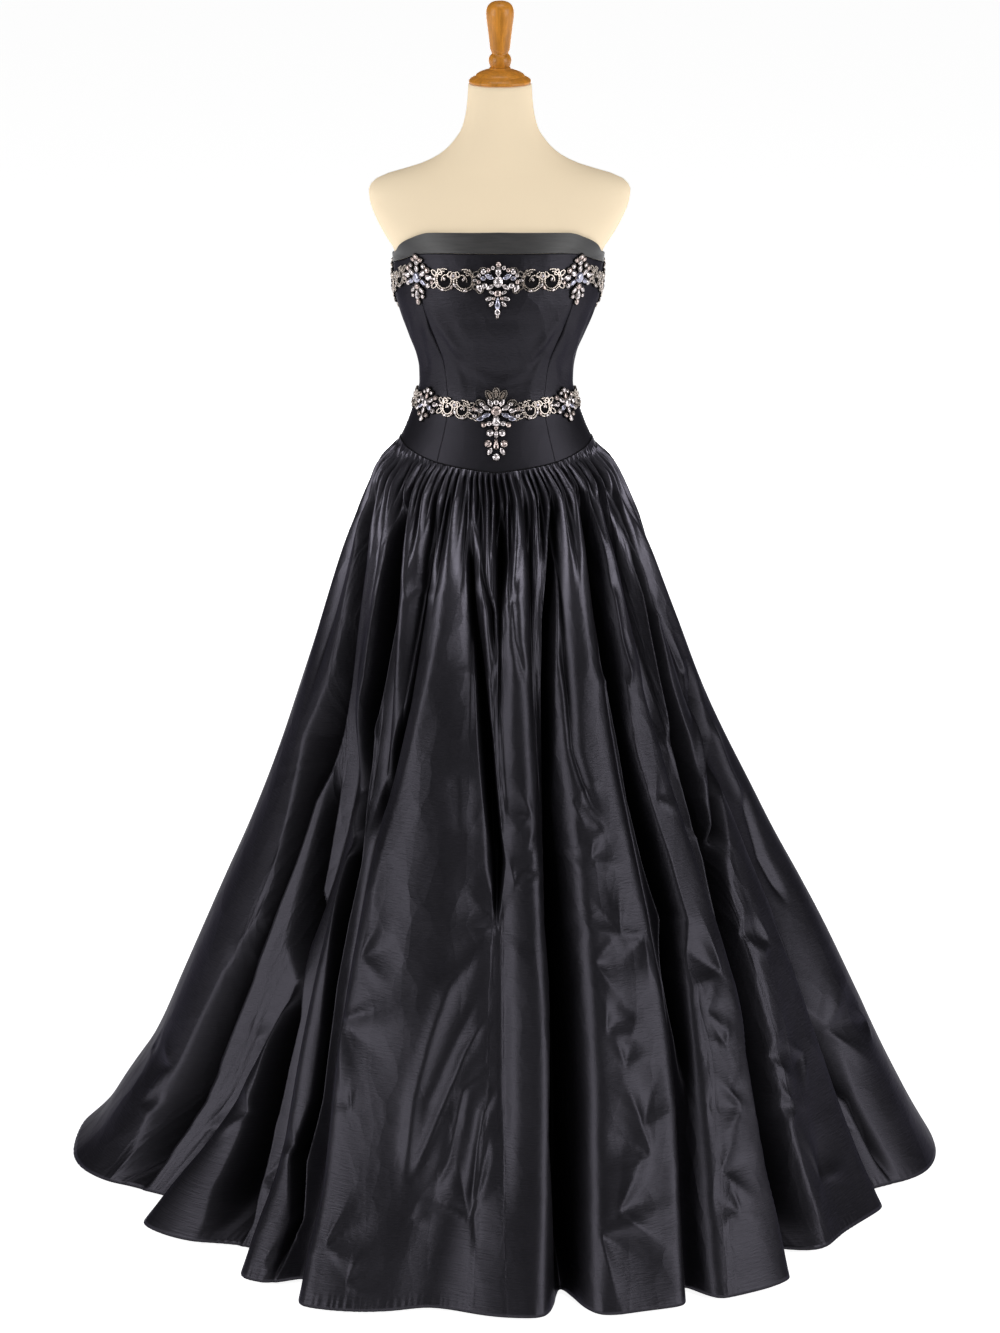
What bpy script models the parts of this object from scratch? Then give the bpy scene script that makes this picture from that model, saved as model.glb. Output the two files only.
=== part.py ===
"""Strapless ball gown on a limbless dress form with a turned wooden cap and a pole stand.

Units are metres, Z is up and the front faces -Y.  Every cloth piece is a thin closed wall
whose points come from one surface: the form's own surface moved out for the bodice, basque,
band and trims, and a folded cone for the skirt.  Angles run from the centre front (0) to the
wearer's left side seam (+90) and the centre back (180).
"""
import math

import bmesh
import bpy
from mathutils import Vector

# ---------------------------------------------------------------- sizes that drive the part
CLOTH_GAP = 0.0015          # air between the form and the cloth on it
CLOTH_WALL = 0.0015         # bodice, basque and band cloth with its facing
SEAM_GAP = 0.0003           # space left between two pieces where a seam joins them
SKIRT_WALL = 0.0014
SKIRT_STAND_OFF = 0.0053    # gathered edge of the skirt, measured out from the form
GATHER_HEIGHT = 0.0014      # one small gather, in and out from the middle of the wall
GATHER_FADE = 0.23          # the gathers have died out this far below the seam
HEM_HEIGHT = 0.006
TRIM_LIFT = 0.0016          # trim backing, above the cloth it is sewn on
ZIP_HALF = 0.0022           # half the width of the closed zip's teeth and tape edge
FORM_SIDES = 36
COLUMNS = (11, 6, 6, 5)     # across the front, side front, side back and back of the bodice
BAND_RAISE = 0.0007
WAIST_LEAN = -0.0055        # the form stands a little off its pole at the waist
FORM_BOTTOM = 0.860
NECK_TOP = 1.5908
CAP_BOTTOM = 1.5912
POLE_RADIUS = 0.0125
BASE_RADIUS = 0.180

# the form: height, half width, depth in front, depth behind (mm, height in m)
FORM_SECTIONS = (
    (0.860, 150.0, 100.0, 112.0),
    (0.900, 168.0, 108.0, 122.0),
    (0.960, 175.0, 112.0, 126.0),
    (1.010, 165.0, 112.0, 120.0),
    (1.050, 149.0, 108.0, 111.0),
    (1.080, 137.0, 103.0, 103.0),
    (1.105, 126.0, 97.0, 95.0),
    (1.125, 118.5, 91.0, 89.0),
    (1.145, 112.0, 86.5, 85.5),
    (1.168, 107.0, 84.0, 84.0),
    (1.188, 107.5, 86.0, 85.5),
    (1.210, 111.0, 91.0, 89.5),
    (1.240, 123.0, 101.0, 95.5),
    (1.270, 135.0, 111.5, 100.0),
    (1.300, 143.0, 117.5, 102.5),
    (1.330, 145.3, 117.0, 104.0),
    (1.357, 148.0, 111.0, 104.5),
    (1.380, 161.5, 104.0, 103.0),
    (1.405, 175.0, 96.0, 99.0),
    (1.430, 184.0, 84.0, 91.5),
    (1.445, 185.5, 77.0, 86.0),
    (1.455, 181.0, 71.5, 80.5),
    (1.4635, 168.0, 66.5, 76.0),
    (1.472, 140.0, 62.0, 71.0),
    (1.482, 109.0, 58.0, 66.5),
    (1.496, 83.5, 54.0, 61.0),
    (1.511, 67.8, 51.0, 56.0),
    (1.533, 53.7, 47.0, 50.0),
    (1.562, 47.2, 44.5, 46.5),
    (1.5908, 44.8, 43.5, 44.5),
)

# edges that run round the body: angle, height at that angle
TOP_EDGE = (
    (0, 1.3990), (35, 1.3970), (50, 1.3850), (65, 1.3710), (90, 1.3575), (130, 1.3520), (180, 1.3500),
)
BAND_SEAM = (
    (0, 1.3702), (25, 1.3695), (45, 1.3660), (65, 1.3530), (90, 1.3410), (130, 1.3290), (180, 1.3250),
)
WAIST_SEAM = ((0, 1.1350), (62, 1.1420), (90, 1.1400), (180, 1.1380))
BASQUE_SEAM = ((0, 1.0570), (36, 1.0672), (62, 1.0785), (86, 1.0858), (120, 1.0830), (180, 1.0740))

# seams that run down the body: height, angle at that height
PRINCESS_SEAM = ((1.400, 50.0), (1.300, 47.0), (1.240, 42.5), (1.170, 39.5), (1.140, 36.0), (1.060, 35.5))
SIDE_SEAM = ((1.400, 91.0), (1.060, 91.0))
BACK_SEAM = ((1.400, 142.0), (1.240, 139.0), (1.170, 141.0), (1.060, 145.0))

# the skirt between its folds: height, right side, left side, front, back (mm)
SKIRT_SECTIONS = (
    (0.006, 650.0, 644.0, 669.0, 660.0),
    (0.060, 619.0, 600.0, 634.0, 628.0),
    (0.108, 594.0, 557.0, 604.0, 600.0),
    (0.150, 573.0, 526.0, 579.0, 576.0),
    (0.186, 556.0, 507.0, 558.0, 556.0),
    (0.265, 520.0, 473.0, 517.0, 518.0),
    (0.342, 484.0, 440.0, 476.0, 479.0),
    (0.420, 445.0, 407.0, 435.0, 440.0),
    (0.496, 406.0, 375.0, 393.0, 399.0),
    (0.573, 370.0, 346.0, 354.0, 361.0),
    (0.649, 334.0, 320.0, 316.0, 323.0),
    (0.724, 301.0, 296.0, 279.0, 287.0),
    (0.812, 266.0, 266.0, 242.0, 252.0),
    (0.874, 241.0, 244.0, 214.0, 223.0),
    (0.949, 214.0, 218.0, 185.0, 192.0),
    (1.006, 187.0, 194.0, 154.0, 160.0),
    (1.048, 165.0, 175.0, 131.0, 134.0),
    (1.091, 139.0, 149.0, 108.0, 108.0),
)

# folds, a row for each valley and the lobe on its clockwise side (towards larger angles):
# name, angle at the seam, at half height and at the hem, depth of the valley at the hem (mm),
# width of its two slopes at the hem (degrees), how far the lobe after it stands out from the
# plain skirt at half height and at the hem (mm), heights between which the valley lives
FOLDS = (
    ("left_side", -64.0, -57.5, -65.0, 92.0, 13.0, 4.2, -20, -46, 0.00, 1.07),
    ("left_outer", -53.0, -46.5, -40.0, 86.0, 10.0, 3.0, -16, -24, 0.00, 0.76),
    ("left_inner", -45.0, -34.0, -27.6, 70.0, 3.5, 2.0, 4, 18, 0.00, 1.07),
    ("left_short", -26.0, -29.5, -19.0, 34.0, 3.0, 3.0, 6, 8, 0.50, 1.07),
    ("centre_soft", -9.0, -3.4, -9.0, 34.0, 6.0, 8.0, 6, 2, 0.00, 1.07),
    ("centre_crease", 2.0, 0.2, 0.6, 12.0, 2.0, 1.5, 6, 3, 0.10, 1.07),
    ("centre_deep", 18.0, 12.2, 8.6, 96.0, 2.3, 2.3, 6, 7, 0.00, 1.07),
    ("right_inner", 39.5, 32.6, 25.0, 58.0, 1.7, 1.7, 4, 10, 0.00, 1.07),
    ("right_deep", 53.0, 50.2, 41.6, 100.0, 2.1, 4.6, -8, -52, 0.00, 1.07),
    ("right_side", 67.0, 74.0, 70.5, 52.0, 3.5, 7.0, 0, 0, 0.00, 1.07),
    ("back_1", 87.0, 104.0, 108.0, 74.0, 5.0, 4.0, 0, -6, 0.00, 1.07),
    ("back_2", 110.0, 123.0, 127.0, 66.0, 4.0, 5.0, 2, 4, 0.00, 1.07),
    ("back_3", 130.0, 143.0, 147.0, 88.0, 5.0, 4.0, -4, -10, 0.00, 1.07),
    ("back_4", 152.0, 161.0, 166.0, 60.0, 3.5, 4.5, 4, 8, 0.00, 1.07),
    ("back_5", 176.0, 180.0, 187.0, 92.0, 4.0, 4.0, 0, 2, 0.00, 1.07),
    ("back_6", 200.0, 203.0, 208.0, 68.0, 4.0, 5.0, 4, -8, 0.00, 1.07),
    ("back_7", 223.0, 225.0, 229.0, 84.0, 5.0, 4.0, 0, 6, 0.00, 1.07),
    ("back_8", 246.0, 248.0, 250.0, 72.0, 4.5, 6.0, 0, 0, 0.00, 1.07),
)
# how many points of a ring lie between one valley and the next
FOLD_POINTS = (12, 8, 4, 6, 4, 4, 8, 8, 14, 14, 8, 8, 8, 8, 8, 8, 8, 18)
# share of the way from the seam to the hem for each ring of the skirt
SKIRT_RINGS = (0.0, 0.022, 0.055, 0.10, 0.17, 0.26, 0.38, 0.52, 0.66, 0.79, 0.90, 1.0)

# skirt panels: name, first and last valley they run between
SKIRT_PANELS = (
    ("skirt_front", 2, 8),
    ("skirt_side_left", 8, 11),
    ("skirt_back_left", 11, 14),
    ("skirt_back_right", 14, 17),
    ("skirt_side_right", 17, 20),
)

# trims on the front and the wearer's left, repeated on the right: name, angle, height of the
# middle, half width, height above and below the middle (mm)
CHEST_MOTIFS = (
    ("motif_chest_front", 0.0, 1.334, 31, 25, 50),
    ("motif_chest_left_1", 49.0, 1.333, 28, 33, 41),
    ("motif_chest_left_2", 99.0, 1.312, 26, 26, 34),
    ("motif_chest_left_3", 146.0, 1.300, 27, 24, 30),
)
WAIST_MOTIFS = (
    ("motif_waist_front", 0.0, 1.142, 35, 35, 69),
    ("motif_waist_left_1", 58.5, 1.145, 26, 25, 30),
    ("motif_waist_left_2", 120.0, 1.144, 26, 25, 30),
)
# oval links between one motif and the next, or the zip: name, places of the two motifs in
# their table (None is the zip), height of the ovals (mm), number of ovals
CHEST_LINKS = (
    ("link_chest_left_1", 0, 1, 31, 2),
    ("link_chest_left_2", 1, 2, 29, 2),
    ("link_chest_left_3", 2, 3, 28, 2),
    ("link_chest_left_4", 3, None, 26, 1),
)
WAIST_LINKS = (
    ("link_waist_left_1", 0, 1, 28, 2),
    ("link_waist_left_2", 1, 2, 26, 2),
    ("link_waist_left_3", 2, None, 26, 2),
)
LINK_GAP = 0.0008           # between a link and the motif or zip beside it
LINK_WALL = 0.0018
ZIP_CLEAR = 0.0060
# the slider and its pull: how far down from the top (m), half width (mm)
ZIP_SLIDER = (
    (0.0, 1.6), (0.003, 2.4), (0.008, 2.4), (0.010, 1.2), (0.022, 1.2), (0.027, 2.0), (0.031, 1.4),
)

# turned wood: radius and height of each step of the profile (mm, height above the cap's base)
CAP_PROFILE = (
    (0.0, 0.0), (42.4, 0.0), (43.9, 3.0), (44.2, 7.0), (43.2, 11.0), (39.6, 14.2),
    (34.4, 16.0), (31.0, 19.4), (24.0, 23.2), (15.6, 25.6), (13.6, 26.6), (0.0, 26.6),
)
HANDLE_PROFILE = (
    (0.0, 0.0), (12.4, 0.0), (15.0, 3.0), (16.0, 8.0), (15.2, 13.0), (12.8, 16.5), (12.4, 19.5),
    (14.2, 24.0), (15.4, 36.0), (17.6, 56.0), (19.5, 74.0), (19.8, 80.0), (17.6, 88.0),
    (11.0, 93.5), (0.0, 95.5),
)


# ---------------------------------------------------------------- curves through tables
def slopes(xs, ys):
    """Slopes of a curve that passes through every row without overshooting."""
    steps = [(ys[i + 1] - ys[i]) / (xs[i + 1] - xs[i]) for i in range(len(xs) - 1)]
    result = [steps[0]]
    for i in range(1, len(xs) - 1):
        before = steps[i - 1]
        after = steps[i]
        result.append(0.0 if before * after <= 0.0 else 2.0 * before * after / (before + after))
    result.append(steps[-1])
    return result


def curve(xs, ys):
    """A smooth function through the points (xs rising)."""
    tangents = slopes(xs, ys)

    def value(x):
        if x <= xs[0]:
            return ys[0]
        if x >= xs[-1]:
            return ys[-1]
        i = 0
        while xs[i + 1] < x:
            i += 1
        width = xs[i + 1] - xs[i]
        t = (x - xs[i]) / width
        a = (1.0 + 2.0 * t) * (1.0 - t) ** 2
        b = t * (1.0 - t) ** 2 * width
        c = t * t * (3.0 - 2.0 * t)
        d = t * t * (t - 1.0) * width
        return a * ys[i] + b * tangents[i] + c * ys[i + 1] + d * tangents[i + 1]

    return value


def column_curve(rows, column, scale=1.0):
    """One column of a table as a smooth function of the table's first column."""
    ordered = sorted(rows, key=lambda row: row[0])
    return curve([row[0] for row in ordered], [row[column] * scale for row in ordered])


def smooth_step(t):
    t = min(1.0, max(0.0, t))
    return t * t * (3.0 - 2.0 * t)


form_half = column_curve(FORM_SECTIONS, 1, 0.001)
form_front = column_curve(FORM_SECTIONS, 2, 0.001)
form_back = column_curve(FORM_SECTIONS, 3, 0.001)
skirt_left = column_curve(SKIRT_SECTIONS, 1, 0.001)
skirt_right = column_curve(SKIRT_SECTIONS, 2, 0.001)
skirt_front = column_curve(SKIRT_SECTIONS, 3, 0.001)
skirt_back = column_curve(SKIRT_SECTIONS, 4, 0.001)
top_edge = column_curve(TOP_EDGE, 1)
band_seam = column_curve(BAND_SEAM, 1)
waist_seam = column_curve(WAIST_SEAM, 1)
basque_seam = column_curve(BASQUE_SEAM, 1)
princess_seam = column_curve(PRINCESS_SEAM, 1)
side_seam = column_curve(SIDE_SEAM, 1)
back_seam = column_curve(BACK_SEAM, 1)


def away_from_front(angle):
    """The angle folded into 0..180, for edges that are alike on both sides."""
    return abs((angle + 180.0) % 360.0 - 180.0)


# ---------------------------------------------------------------- the form's surface
def form_point(angle, height):
    a = math.radians(angle)
    depth = form_front(height) if math.cos(a) > 0.0 else form_back(height)
    lean = WAIST_LEAN * (1.0 - smooth_step((height - 1.15) / 0.36))
    return Vector((lean + form_half(height) * math.sin(a), -depth * math.cos(a), height))


def form_normal(angle, height):
    step = 0.002
    round_it = form_point(angle + 0.5, height) - form_point(angle - 0.5, height)
    up_it = form_point(angle, height + step) - form_point(angle, height - step)
    return round_it.cross(up_it).normalized()


def on_form(angle, height, lift):
    """A point of the form's surface moved out along its normal."""
    return form_point(angle, height) + form_normal(angle, height) * lift


def degrees_for(length, angle, height):
    """How many degrees round the body a length at this place takes."""
    step = (form_point(angle + 0.5, height) - form_point(angle - 0.5, height)).length
    return length / step


# ---------------------------------------------------------------- making bodies
def material(name, colour, roughness, metallic=0.0, coat=0.0):
    made = bpy.data.materials.new(name)
    made.use_nodes = True
    shader = made.node_tree.nodes["Principled BSDF"]
    shader.inputs["Base Color"].default_value = (*colour, 1.0)
    shader.inputs["Roughness"].default_value = roughness
    shader.inputs["Metallic"].default_value = metallic
    shader.inputs["Coat Weight"].default_value = coat
    made.diffuse_color = (*colour, 1.0)
    return made


def finish(name, bm, surface, smooth=True):
    """Turn a bmesh into a named object with outward faces."""
    bmesh.ops.recalc_face_normals(bm, faces=bm.faces)
    mesh = bpy.data.meshes.new(name)
    bm.to_mesh(mesh)
    bm.free()
    for face in mesh.polygons:
        face.use_smooth = smooth
    mesh.materials.append(surface)
    made = bpy.data.objects.new(name, mesh)
    bpy.context.scene.collection.objects.link(made)
    return made


def wall(name, outer, inner, surface):
    """A closed sheet from two matching grids of points: rows go down, columns go round."""
    bm = bmesh.new()
    out_grid = [[bm.verts.new(p) for p in row] for row in outer]
    in_grid = [[bm.verts.new(p) for p in row] for row in inner]
    rows = len(outer)
    columns = len(outer[0])
    for r in range(rows - 1):
        for c in range(columns - 1):
            bm.faces.new((out_grid[r][c], out_grid[r + 1][c], out_grid[r + 1][c + 1], out_grid[r][c + 1]))
            bm.faces.new((in_grid[r][c], in_grid[r][c + 1], in_grid[r + 1][c + 1], in_grid[r + 1][c]))
    for r in range(rows - 1):
        for c in (0, columns - 1):
            bm.faces.new((out_grid[r][c], in_grid[r][c], in_grid[r + 1][c], out_grid[r + 1][c]))
    for c in range(columns - 1):
        for r in (0, rows - 1):
            bm.faces.new((out_grid[r][c], out_grid[r][c + 1], in_grid[r][c + 1], in_grid[r][c]))
    return finish(name, bm, surface)


def lathe(name, profile, base_height, sides, surface):
    """Turn a closed profile that starts and ends on the axis."""
    bm = bmesh.new()
    points = [
        bm.verts.new((radius * 0.001, 0.0, base_height + height * 0.001)) for radius, height in profile
    ]
    edges = [bm.edges.new((points[i], points[i + 1])) for i in range(len(points) - 1)]
    bmesh.ops.spin(
        bm, geom=points + edges, cent=(0.0, 0.0, 0.0), axis=(0.0, 0.0, 1.0),
        angle=math.tau, steps=sides, use_merge=True, use_duplicate=False,
    )
    bmesh.ops.remove_doubles(bm, verts=bm.verts, dist=0.00002)
    return finish(name, bm, surface)


# ---------------------------------------------------------------- the form and its stand
def build_form(surface):
    heights = (
        FORM_BOTTOM, 0.900, 0.960, 1.010, 1.050, 1.080, 1.105, 1.125, 1.145, 1.168, 1.188, 1.210, 1.240,
        1.270, 1.300, 1.330, 1.350, 1.365, 1.385, 1.405, 1.430, 1.445, 1.455, 1.4635, 1.472, 1.482,
        1.496, 1.511, 1.533, 1.562, NECK_TOP,
    )
    bm = bmesh.new()
    rings = []
    for height in heights:
        step = 360.0 / FORM_SIDES
        rings.append([bm.verts.new(form_point(step * i, height)) for i in range(FORM_SIDES)])
    for lower, upper in zip(rings, rings[1:]):
        for i in range(FORM_SIDES):
            j = (i + 1) % FORM_SIDES
            bm.faces.new((lower[i], lower[j], upper[j], upper[i]))
    bm.faces.new(rings[0])
    bm.faces.new(rings[-1])
    return finish("form_torso", bm, surface)


def build_stand(metal):
    lathe("stand_pole", ((0.0, 0.0), (12.5, 0.0), (12.5, 841.4), (0.0, 841.4)), 0.0183, 12, metal)
    rim = BASE_RADIUS * 1000.0
    profile = (
        (0.0, 0.0), (rim - 2.0, 0.0), (rim, 2.0), (rim, 8.0), (rim - 3.0, 11.0), (60.0, 15.0),
        (34.0, 18.0), (0.0, 18.0),
    )
    lathe("stand_base", profile, 0.0, 28, metal)


# ---------------------------------------------------------------- bodice, band and basque
def fitted_panel(name, lines, counts, top, bottom, rows, surface, raise_it=0.0):
    """A panel on the form between downward lines (the first and last are seams) and two round edges."""
    spots = [(i, step / count) for i, count in enumerate(counts) for step in range(count)]
    spots.append((len(counts) - 1, 1.0))
    outer = []
    inner = []
    for r in range(rows + 1):
        down = r / rows
        outer_row = []
        inner_row = []
        for c, (piece, across) in enumerate(spots):
            height = 0.5 * (top(0.0) + bottom(0.0))
            angle = 0.0
            for _ in range(8):
                start = lines[piece](height)
                end = lines[piece + 1](height)
                angle = start + (end - start) * across
                folded = away_from_front(angle)
                high = top(folded) - SEAM_GAP * 0.5
                low = bottom(folded) + SEAM_GAP * 0.5
                height = high + (low - high) * down
            trim = degrees_for(SEAM_GAP * 0.5, angle, height)
            angle += trim if c == 0 else 0.0
            angle -= trim if c == len(spots) - 1 else 0.0
            outer_row.append(on_form(angle, height, CLOTH_GAP + CLOTH_WALL + raise_it))
            inner_row.append(on_form(angle, height, CLOTH_GAP + raise_it))
        outer.append(outer_row)
        inner.append(inner_row)
    return wall(name, outer, inner, surface)


def minus(seam):
    return lambda height: -seam(height)


def beside_zip(height):
    """The centre back edge on the wearer's left, clear of the zip."""
    return 180.0 - degrees_for(ZIP_HALF + SEAM_GAP, 180.0, height)


def both_sides(name, seams, counts, edges, rows, surface, extra=0.0):
    """The same piece on the wearer's left and right."""
    top, bottom = edges
    fitted_panel(name + "_left", seams, counts, top, bottom, rows, surface, extra)
    mirrored = [minus(seam) for seam in reversed(seams)]
    fitted_panel(name + "_right", mirrored, tuple(reversed(counts)), top, bottom, rows, surface, extra)


def build_fitted(taffeta, band_cloth):
    middle, front, side, centre = COLUMNS
    right_princess = minus(princess_seam)
    bodice = (band_seam, waist_seam)
    basque = (waist_seam, basque_seam)
    band = (top_edge, band_seam)
    fitted_panel("bodice_front", (right_princess, princess_seam), (middle,), *bodice, 8, taffeta)
    both_sides("bodice_side_front", (princess_seam, side_seam), (front,), bodice, 8, taffeta)
    both_sides("bodice_side_back", (side_seam, back_seam), (side,), bodice, 8, taffeta)
    both_sides("bodice_back", (back_seam, beside_zip), (centre,), bodice, 8, taffeta)
    fitted_panel("basque_front", (right_princess, princess_seam), (middle,), *basque, 3, taffeta)
    both_sides("basque_side", (princess_seam, side_seam), (front,), basque, 3, taffeta)
    both_sides("basque_back", (side_seam, back_seam, beside_zip), (side, centre), basque, 3, taffeta)
    lines = (minus(side_seam), right_princess, princess_seam, side_seam)
    fitted_panel("band_front", lines, (front, middle, front), *band, 2, band_cloth, BAND_RAISE)
    back = (side_seam, back_seam, beside_zip)
    both_sides("band_back", back, (side, centre), band, 2, band_cloth, BAND_RAISE)


def build_zip(metal, tape):
    """Closed concealed zip down the centre back, with its slider at the top."""
    outer = []
    inner = []
    top = top_edge(180.0) - 0.004
    bottom = basque_seam(180.0) + 0.004
    rows = 12
    for r in range(rows + 1):
        height = top + (bottom - top) * r / rows
        half = degrees_for(ZIP_HALF, 180.0, height)
        angles = (180.0 - half, 180.0, 180.0 + half)
        outer.append([on_form(a, height, CLOTH_GAP + CLOTH_WALL * 0.8) for a in angles])
        inner.append([on_form(a, height, CLOTH_GAP) for a in angles])
    wall("zip_tape", outer, inner, tape)
    outer = []
    inner = []
    for drop, half_width in ZIP_SLIDER:
        height = top - 0.002 - drop
        half = degrees_for(half_width * 0.001, 180.0, height)
        angles = (180.0 - half, 180.0 + half)
        outer.append([on_form(a, height, CLOTH_GAP + CLOTH_WALL + 0.0026) for a in angles])
        inner.append([on_form(a, height, CLOTH_GAP + CLOTH_WALL + 0.0004) for a in angles])
    wall("zip_slider", outer, inner, metal)


# ---------------------------------------------------------------- the skirt
def fold_angle(row, height):
    """Angle of a valley at a height: a curve through its seam, middle and hem angles."""
    t = min(1.0, max(0.0, height / 1.07))
    middle = 0.55 / 1.07
    low = row[3]
    mid = row[2]
    high = row[1]
    if t < middle:
        return low + (mid - low) * math.sin(0.5 * math.pi * t / middle) ** 1.2
    part = (t - middle) / (1.0 - middle)
    return mid + (high - mid) * (1.0 - math.cos(0.5 * math.pi * part))


def fold_strength(row, height, seam):
    """How deep a valley is at a height, as a share of its depth at the hem."""
    down = min(1.0, max(0.0, (seam - height) / seam))
    strength = down ** 0.82
    strength *= smooth_step((row[10] - height) / 0.16) if row[10] < 1.0 else 1.0
    strength *= smooth_step((height - row[9]) / 0.16) if row[9] > 0.0 else 1.0
    return strength


def turned_row(index):
    """A fold row, with its angles moved on by whole turns past the end of the table."""
    turns, place = divmod(index, len(FOLDS))
    row = list(FOLDS[place])
    for column in (1, 2, 3):
        row[column] += 360.0 * turns
    return row


def lobe_stand_out(angle, height):
    """How far the lobes stand out from the plain skirt, smoothly round the ring."""
    share = smooth_step(1.0 - height / 0.62)
    rise = smooth_step((1.05 - height) / 0.5)
    centres = []
    for index in range(-2, len(FOLDS) + 2):
        here = turned_row(index)
        there = turned_row(index + 1)
        middle = 0.5 * (fold_angle(here, height) + fold_angle(there, height))
        centres.append((middle, (here[7] * (1.0 - share) * rise + here[8] * share) * 0.001))
    for (a, low), (b, high) in zip(centres, centres[1:]):
        if a <= angle <= b:
            return low + (high - low) * smooth_step((angle - a) / (b - a))
    return 0.0


def valley_depth(angle, height, seam):
    """Depth of all the valleys at one place."""
    total = 0.0
    spread = 1.0 + 1.1 * smooth_step(height / 1.07)
    for row in FOLDS:
        away = (angle - fold_angle(row, height) + 180.0) % 360.0 - 180.0
        width = (row[5] if away < 0.0 else row[6]) * spread
        t = abs(away) / width
        if t < 2.2:
            total += row[4] * 0.001 * fold_strength(row, height, seam) * math.exp(-1.35 * t ** 1.9)
    return total


def skirt_seam(angle):
    return basque_seam(away_from_front(angle)) - SEAM_GAP * 1.5


def skirt_point(angle, share, gather):
    """A point of the skirt: share 0 at the seam to 1 at the hem, gather -1 to 1."""
    seam = skirt_seam(angle)
    height = seam + (HEM_HEIGHT - seam) * share
    a = math.radians(angle)
    kept = max(height, 0.95)
    near = on_form(angle, kept, SKIRT_STAND_OFF)
    near.z += height - kept
    side = skirt_left(height) if math.sin(a) > 0.0 else skirt_right(height)
    depth = skirt_front(height) if math.cos(a) > 0.0 else skirt_back(height)
    far = Vector((side * math.sin(a), -depth * math.cos(a), height))
    point = near.lerp(far, smooth_step((seam - height) / 0.035))
    flat = Vector((point.x, point.y, 0.0))
    outward = flat.normalized()
    move = lobe_stand_out((angle + 90.0) % 360.0 - 90.0, height) - valley_depth(angle, height, seam)
    fade = (1.0 - smooth_step((seam - height) / GATHER_FADE))
    swell = 1.0 + 2.2 * smooth_step((seam - height) / 0.06)
    move += gather * GATHER_HEIGHT * swell * fade
    return point + outward * move


def ring_places():
    """Each point of a ring: the fold it belongs to and its share of the way to the next."""
    places = []
    for index, count in enumerate(FOLD_POINTS):
        for step in range(count):
            t = step / count
            places.append((index, 0.45 * t + 0.55 * (0.5 - 0.5 * math.cos(math.pi * t))))
    return places


def ring_angle(place, share):
    index, across = place
    guess = 0.5 * (turned_row(index)[1] + turned_row(index)[3])
    height = skirt_seam(guess) * (1.0 - share) + HEM_HEIGHT * share
    here = fold_angle(turned_row(index), height)
    there = fold_angle(turned_row(index + 1), height)
    return here + (there - here) * across


def build_skirt(taffeta):
    places = ring_places()
    count = len(places)
    grid = []
    for share in SKIRT_RINGS:
        ring = []
        for i, place in enumerate(places):
            ring.append(skirt_point(ring_angle(place, share), share, 1.0 if i % 2 else -1.0))
        grid.append(ring)
    rows = len(grid)
    normals = []
    for r in range(rows):
        line = []
        for c in range(count):
            round_it = grid[r][(c + 1) % count] - grid[r][c - 1]
            down_it = grid[min(r + 1, rows - 1)][c] - grid[max(r - 1, 0)][c]
            line.append(down_it.cross(round_it).normalized())
        normals.append(line)
    starts = [0]
    for points in FOLD_POINTS:
        starts.append(starts[-1] + points)
    for name, first, last in SKIRT_PANELS:
        begin = starts[first] if first < len(FOLD_POINTS) else starts[first - len(FOLD_POINTS)] + count
        end = starts[last] if last < len(FOLD_POINTS) else starts[last - len(FOLD_POINTS)] + count
        outer = []
        inner = []
        for r in range(rows):
            outer_row = []
            inner_row = []
            for c in range(begin, end + 1):
                point = grid[r][c % count]
                normal = normals[r][c % count]
                along = (grid[r][(c + 1) % count] - grid[r][(c - 1) % count]).normalized()
                slip = along * SEAM_GAP * 0.5
                shift = slip if c == begin else -slip if c == end else slip * 0.0
                outer_row.append(point + shift)
                if r == 0:
                    edge_angle = ring_angle(places[c % count], 0.0)
                    normal = form_normal(edge_angle, skirt_seam(edge_angle))
                low = point + shift - normal * SKIRT_WALL
                low.z = point.z if r == rows - 1 else low.z
                inner_row.append(low)
            outer.append(outer_row)
            inner.append(inner_row)
        wall(name, outer, inner, taffeta)


# ---------------------------------------------------------------- jewelled trims
def on_bodice(angle, height, right, up, lift):
    """A point beside (angle, height) on the cloth: lengths to the right and up, then out."""
    there = height + up
    turned = angle + degrees_for(1.0, angle, there) * right
    return on_form(turned, there, CLOTH_GAP + CLOTH_WALL + TRIM_LIFT + lift)


def build_motif(row, sign, surface):
    """A domed flower-shaped plaque with a drop below."""
    name, angle, height, half, above, below = row
    if sign < 0:
        name = name.replace("left", "right")
    sides = 12
    bm = bmesh.new()
    rings = {}
    for key, grow, lift in (("foot", 1.0, 0.0), ("shoulder", 0.94, 0.0018), ("dome", 0.52, 0.0040),
                            ("under", 0.52, 0.0)):
        line = []
        for i in range(sides):
            a = math.tau * i / sides
            scallop = 1.0 if i % 2 == 0 else 0.86
            tall = above if math.sin(a) > 0.0 else below
            narrow = 1.0 - 0.45 * max(0.0, -math.sin(a)) ** 3 * (below / above > 1.5)
            right = 0.001 * half * math.cos(a) * scallop * grow * narrow
            up = 0.001 * tall * math.sin(a) * scallop * grow
            line.append(bm.verts.new(on_bodice(sign * angle, height, right, up, lift)))
        rings[key] = line
    crown = bm.verts.new(on_bodice(sign * angle, height, 0.0, 0.0, 0.0058))
    heel = bm.verts.new(on_bodice(sign * angle, height, 0.0, 0.0, 0.0))
    for i in range(sides):
        j = (i + 1) % sides
        for low, high in (("foot", "shoulder"), ("shoulder", "dome"), ("under", "foot")):
            bm.faces.new((rings[low][i], rings[low][j], rings[high][j], rings[high][i]))
        bm.faces.new((rings["dome"][i], rings["dome"][j], crown))
        bm.faces.new((rings["under"][j], rings["under"][i], heel))
    return finish(name, bm, surface)


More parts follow.
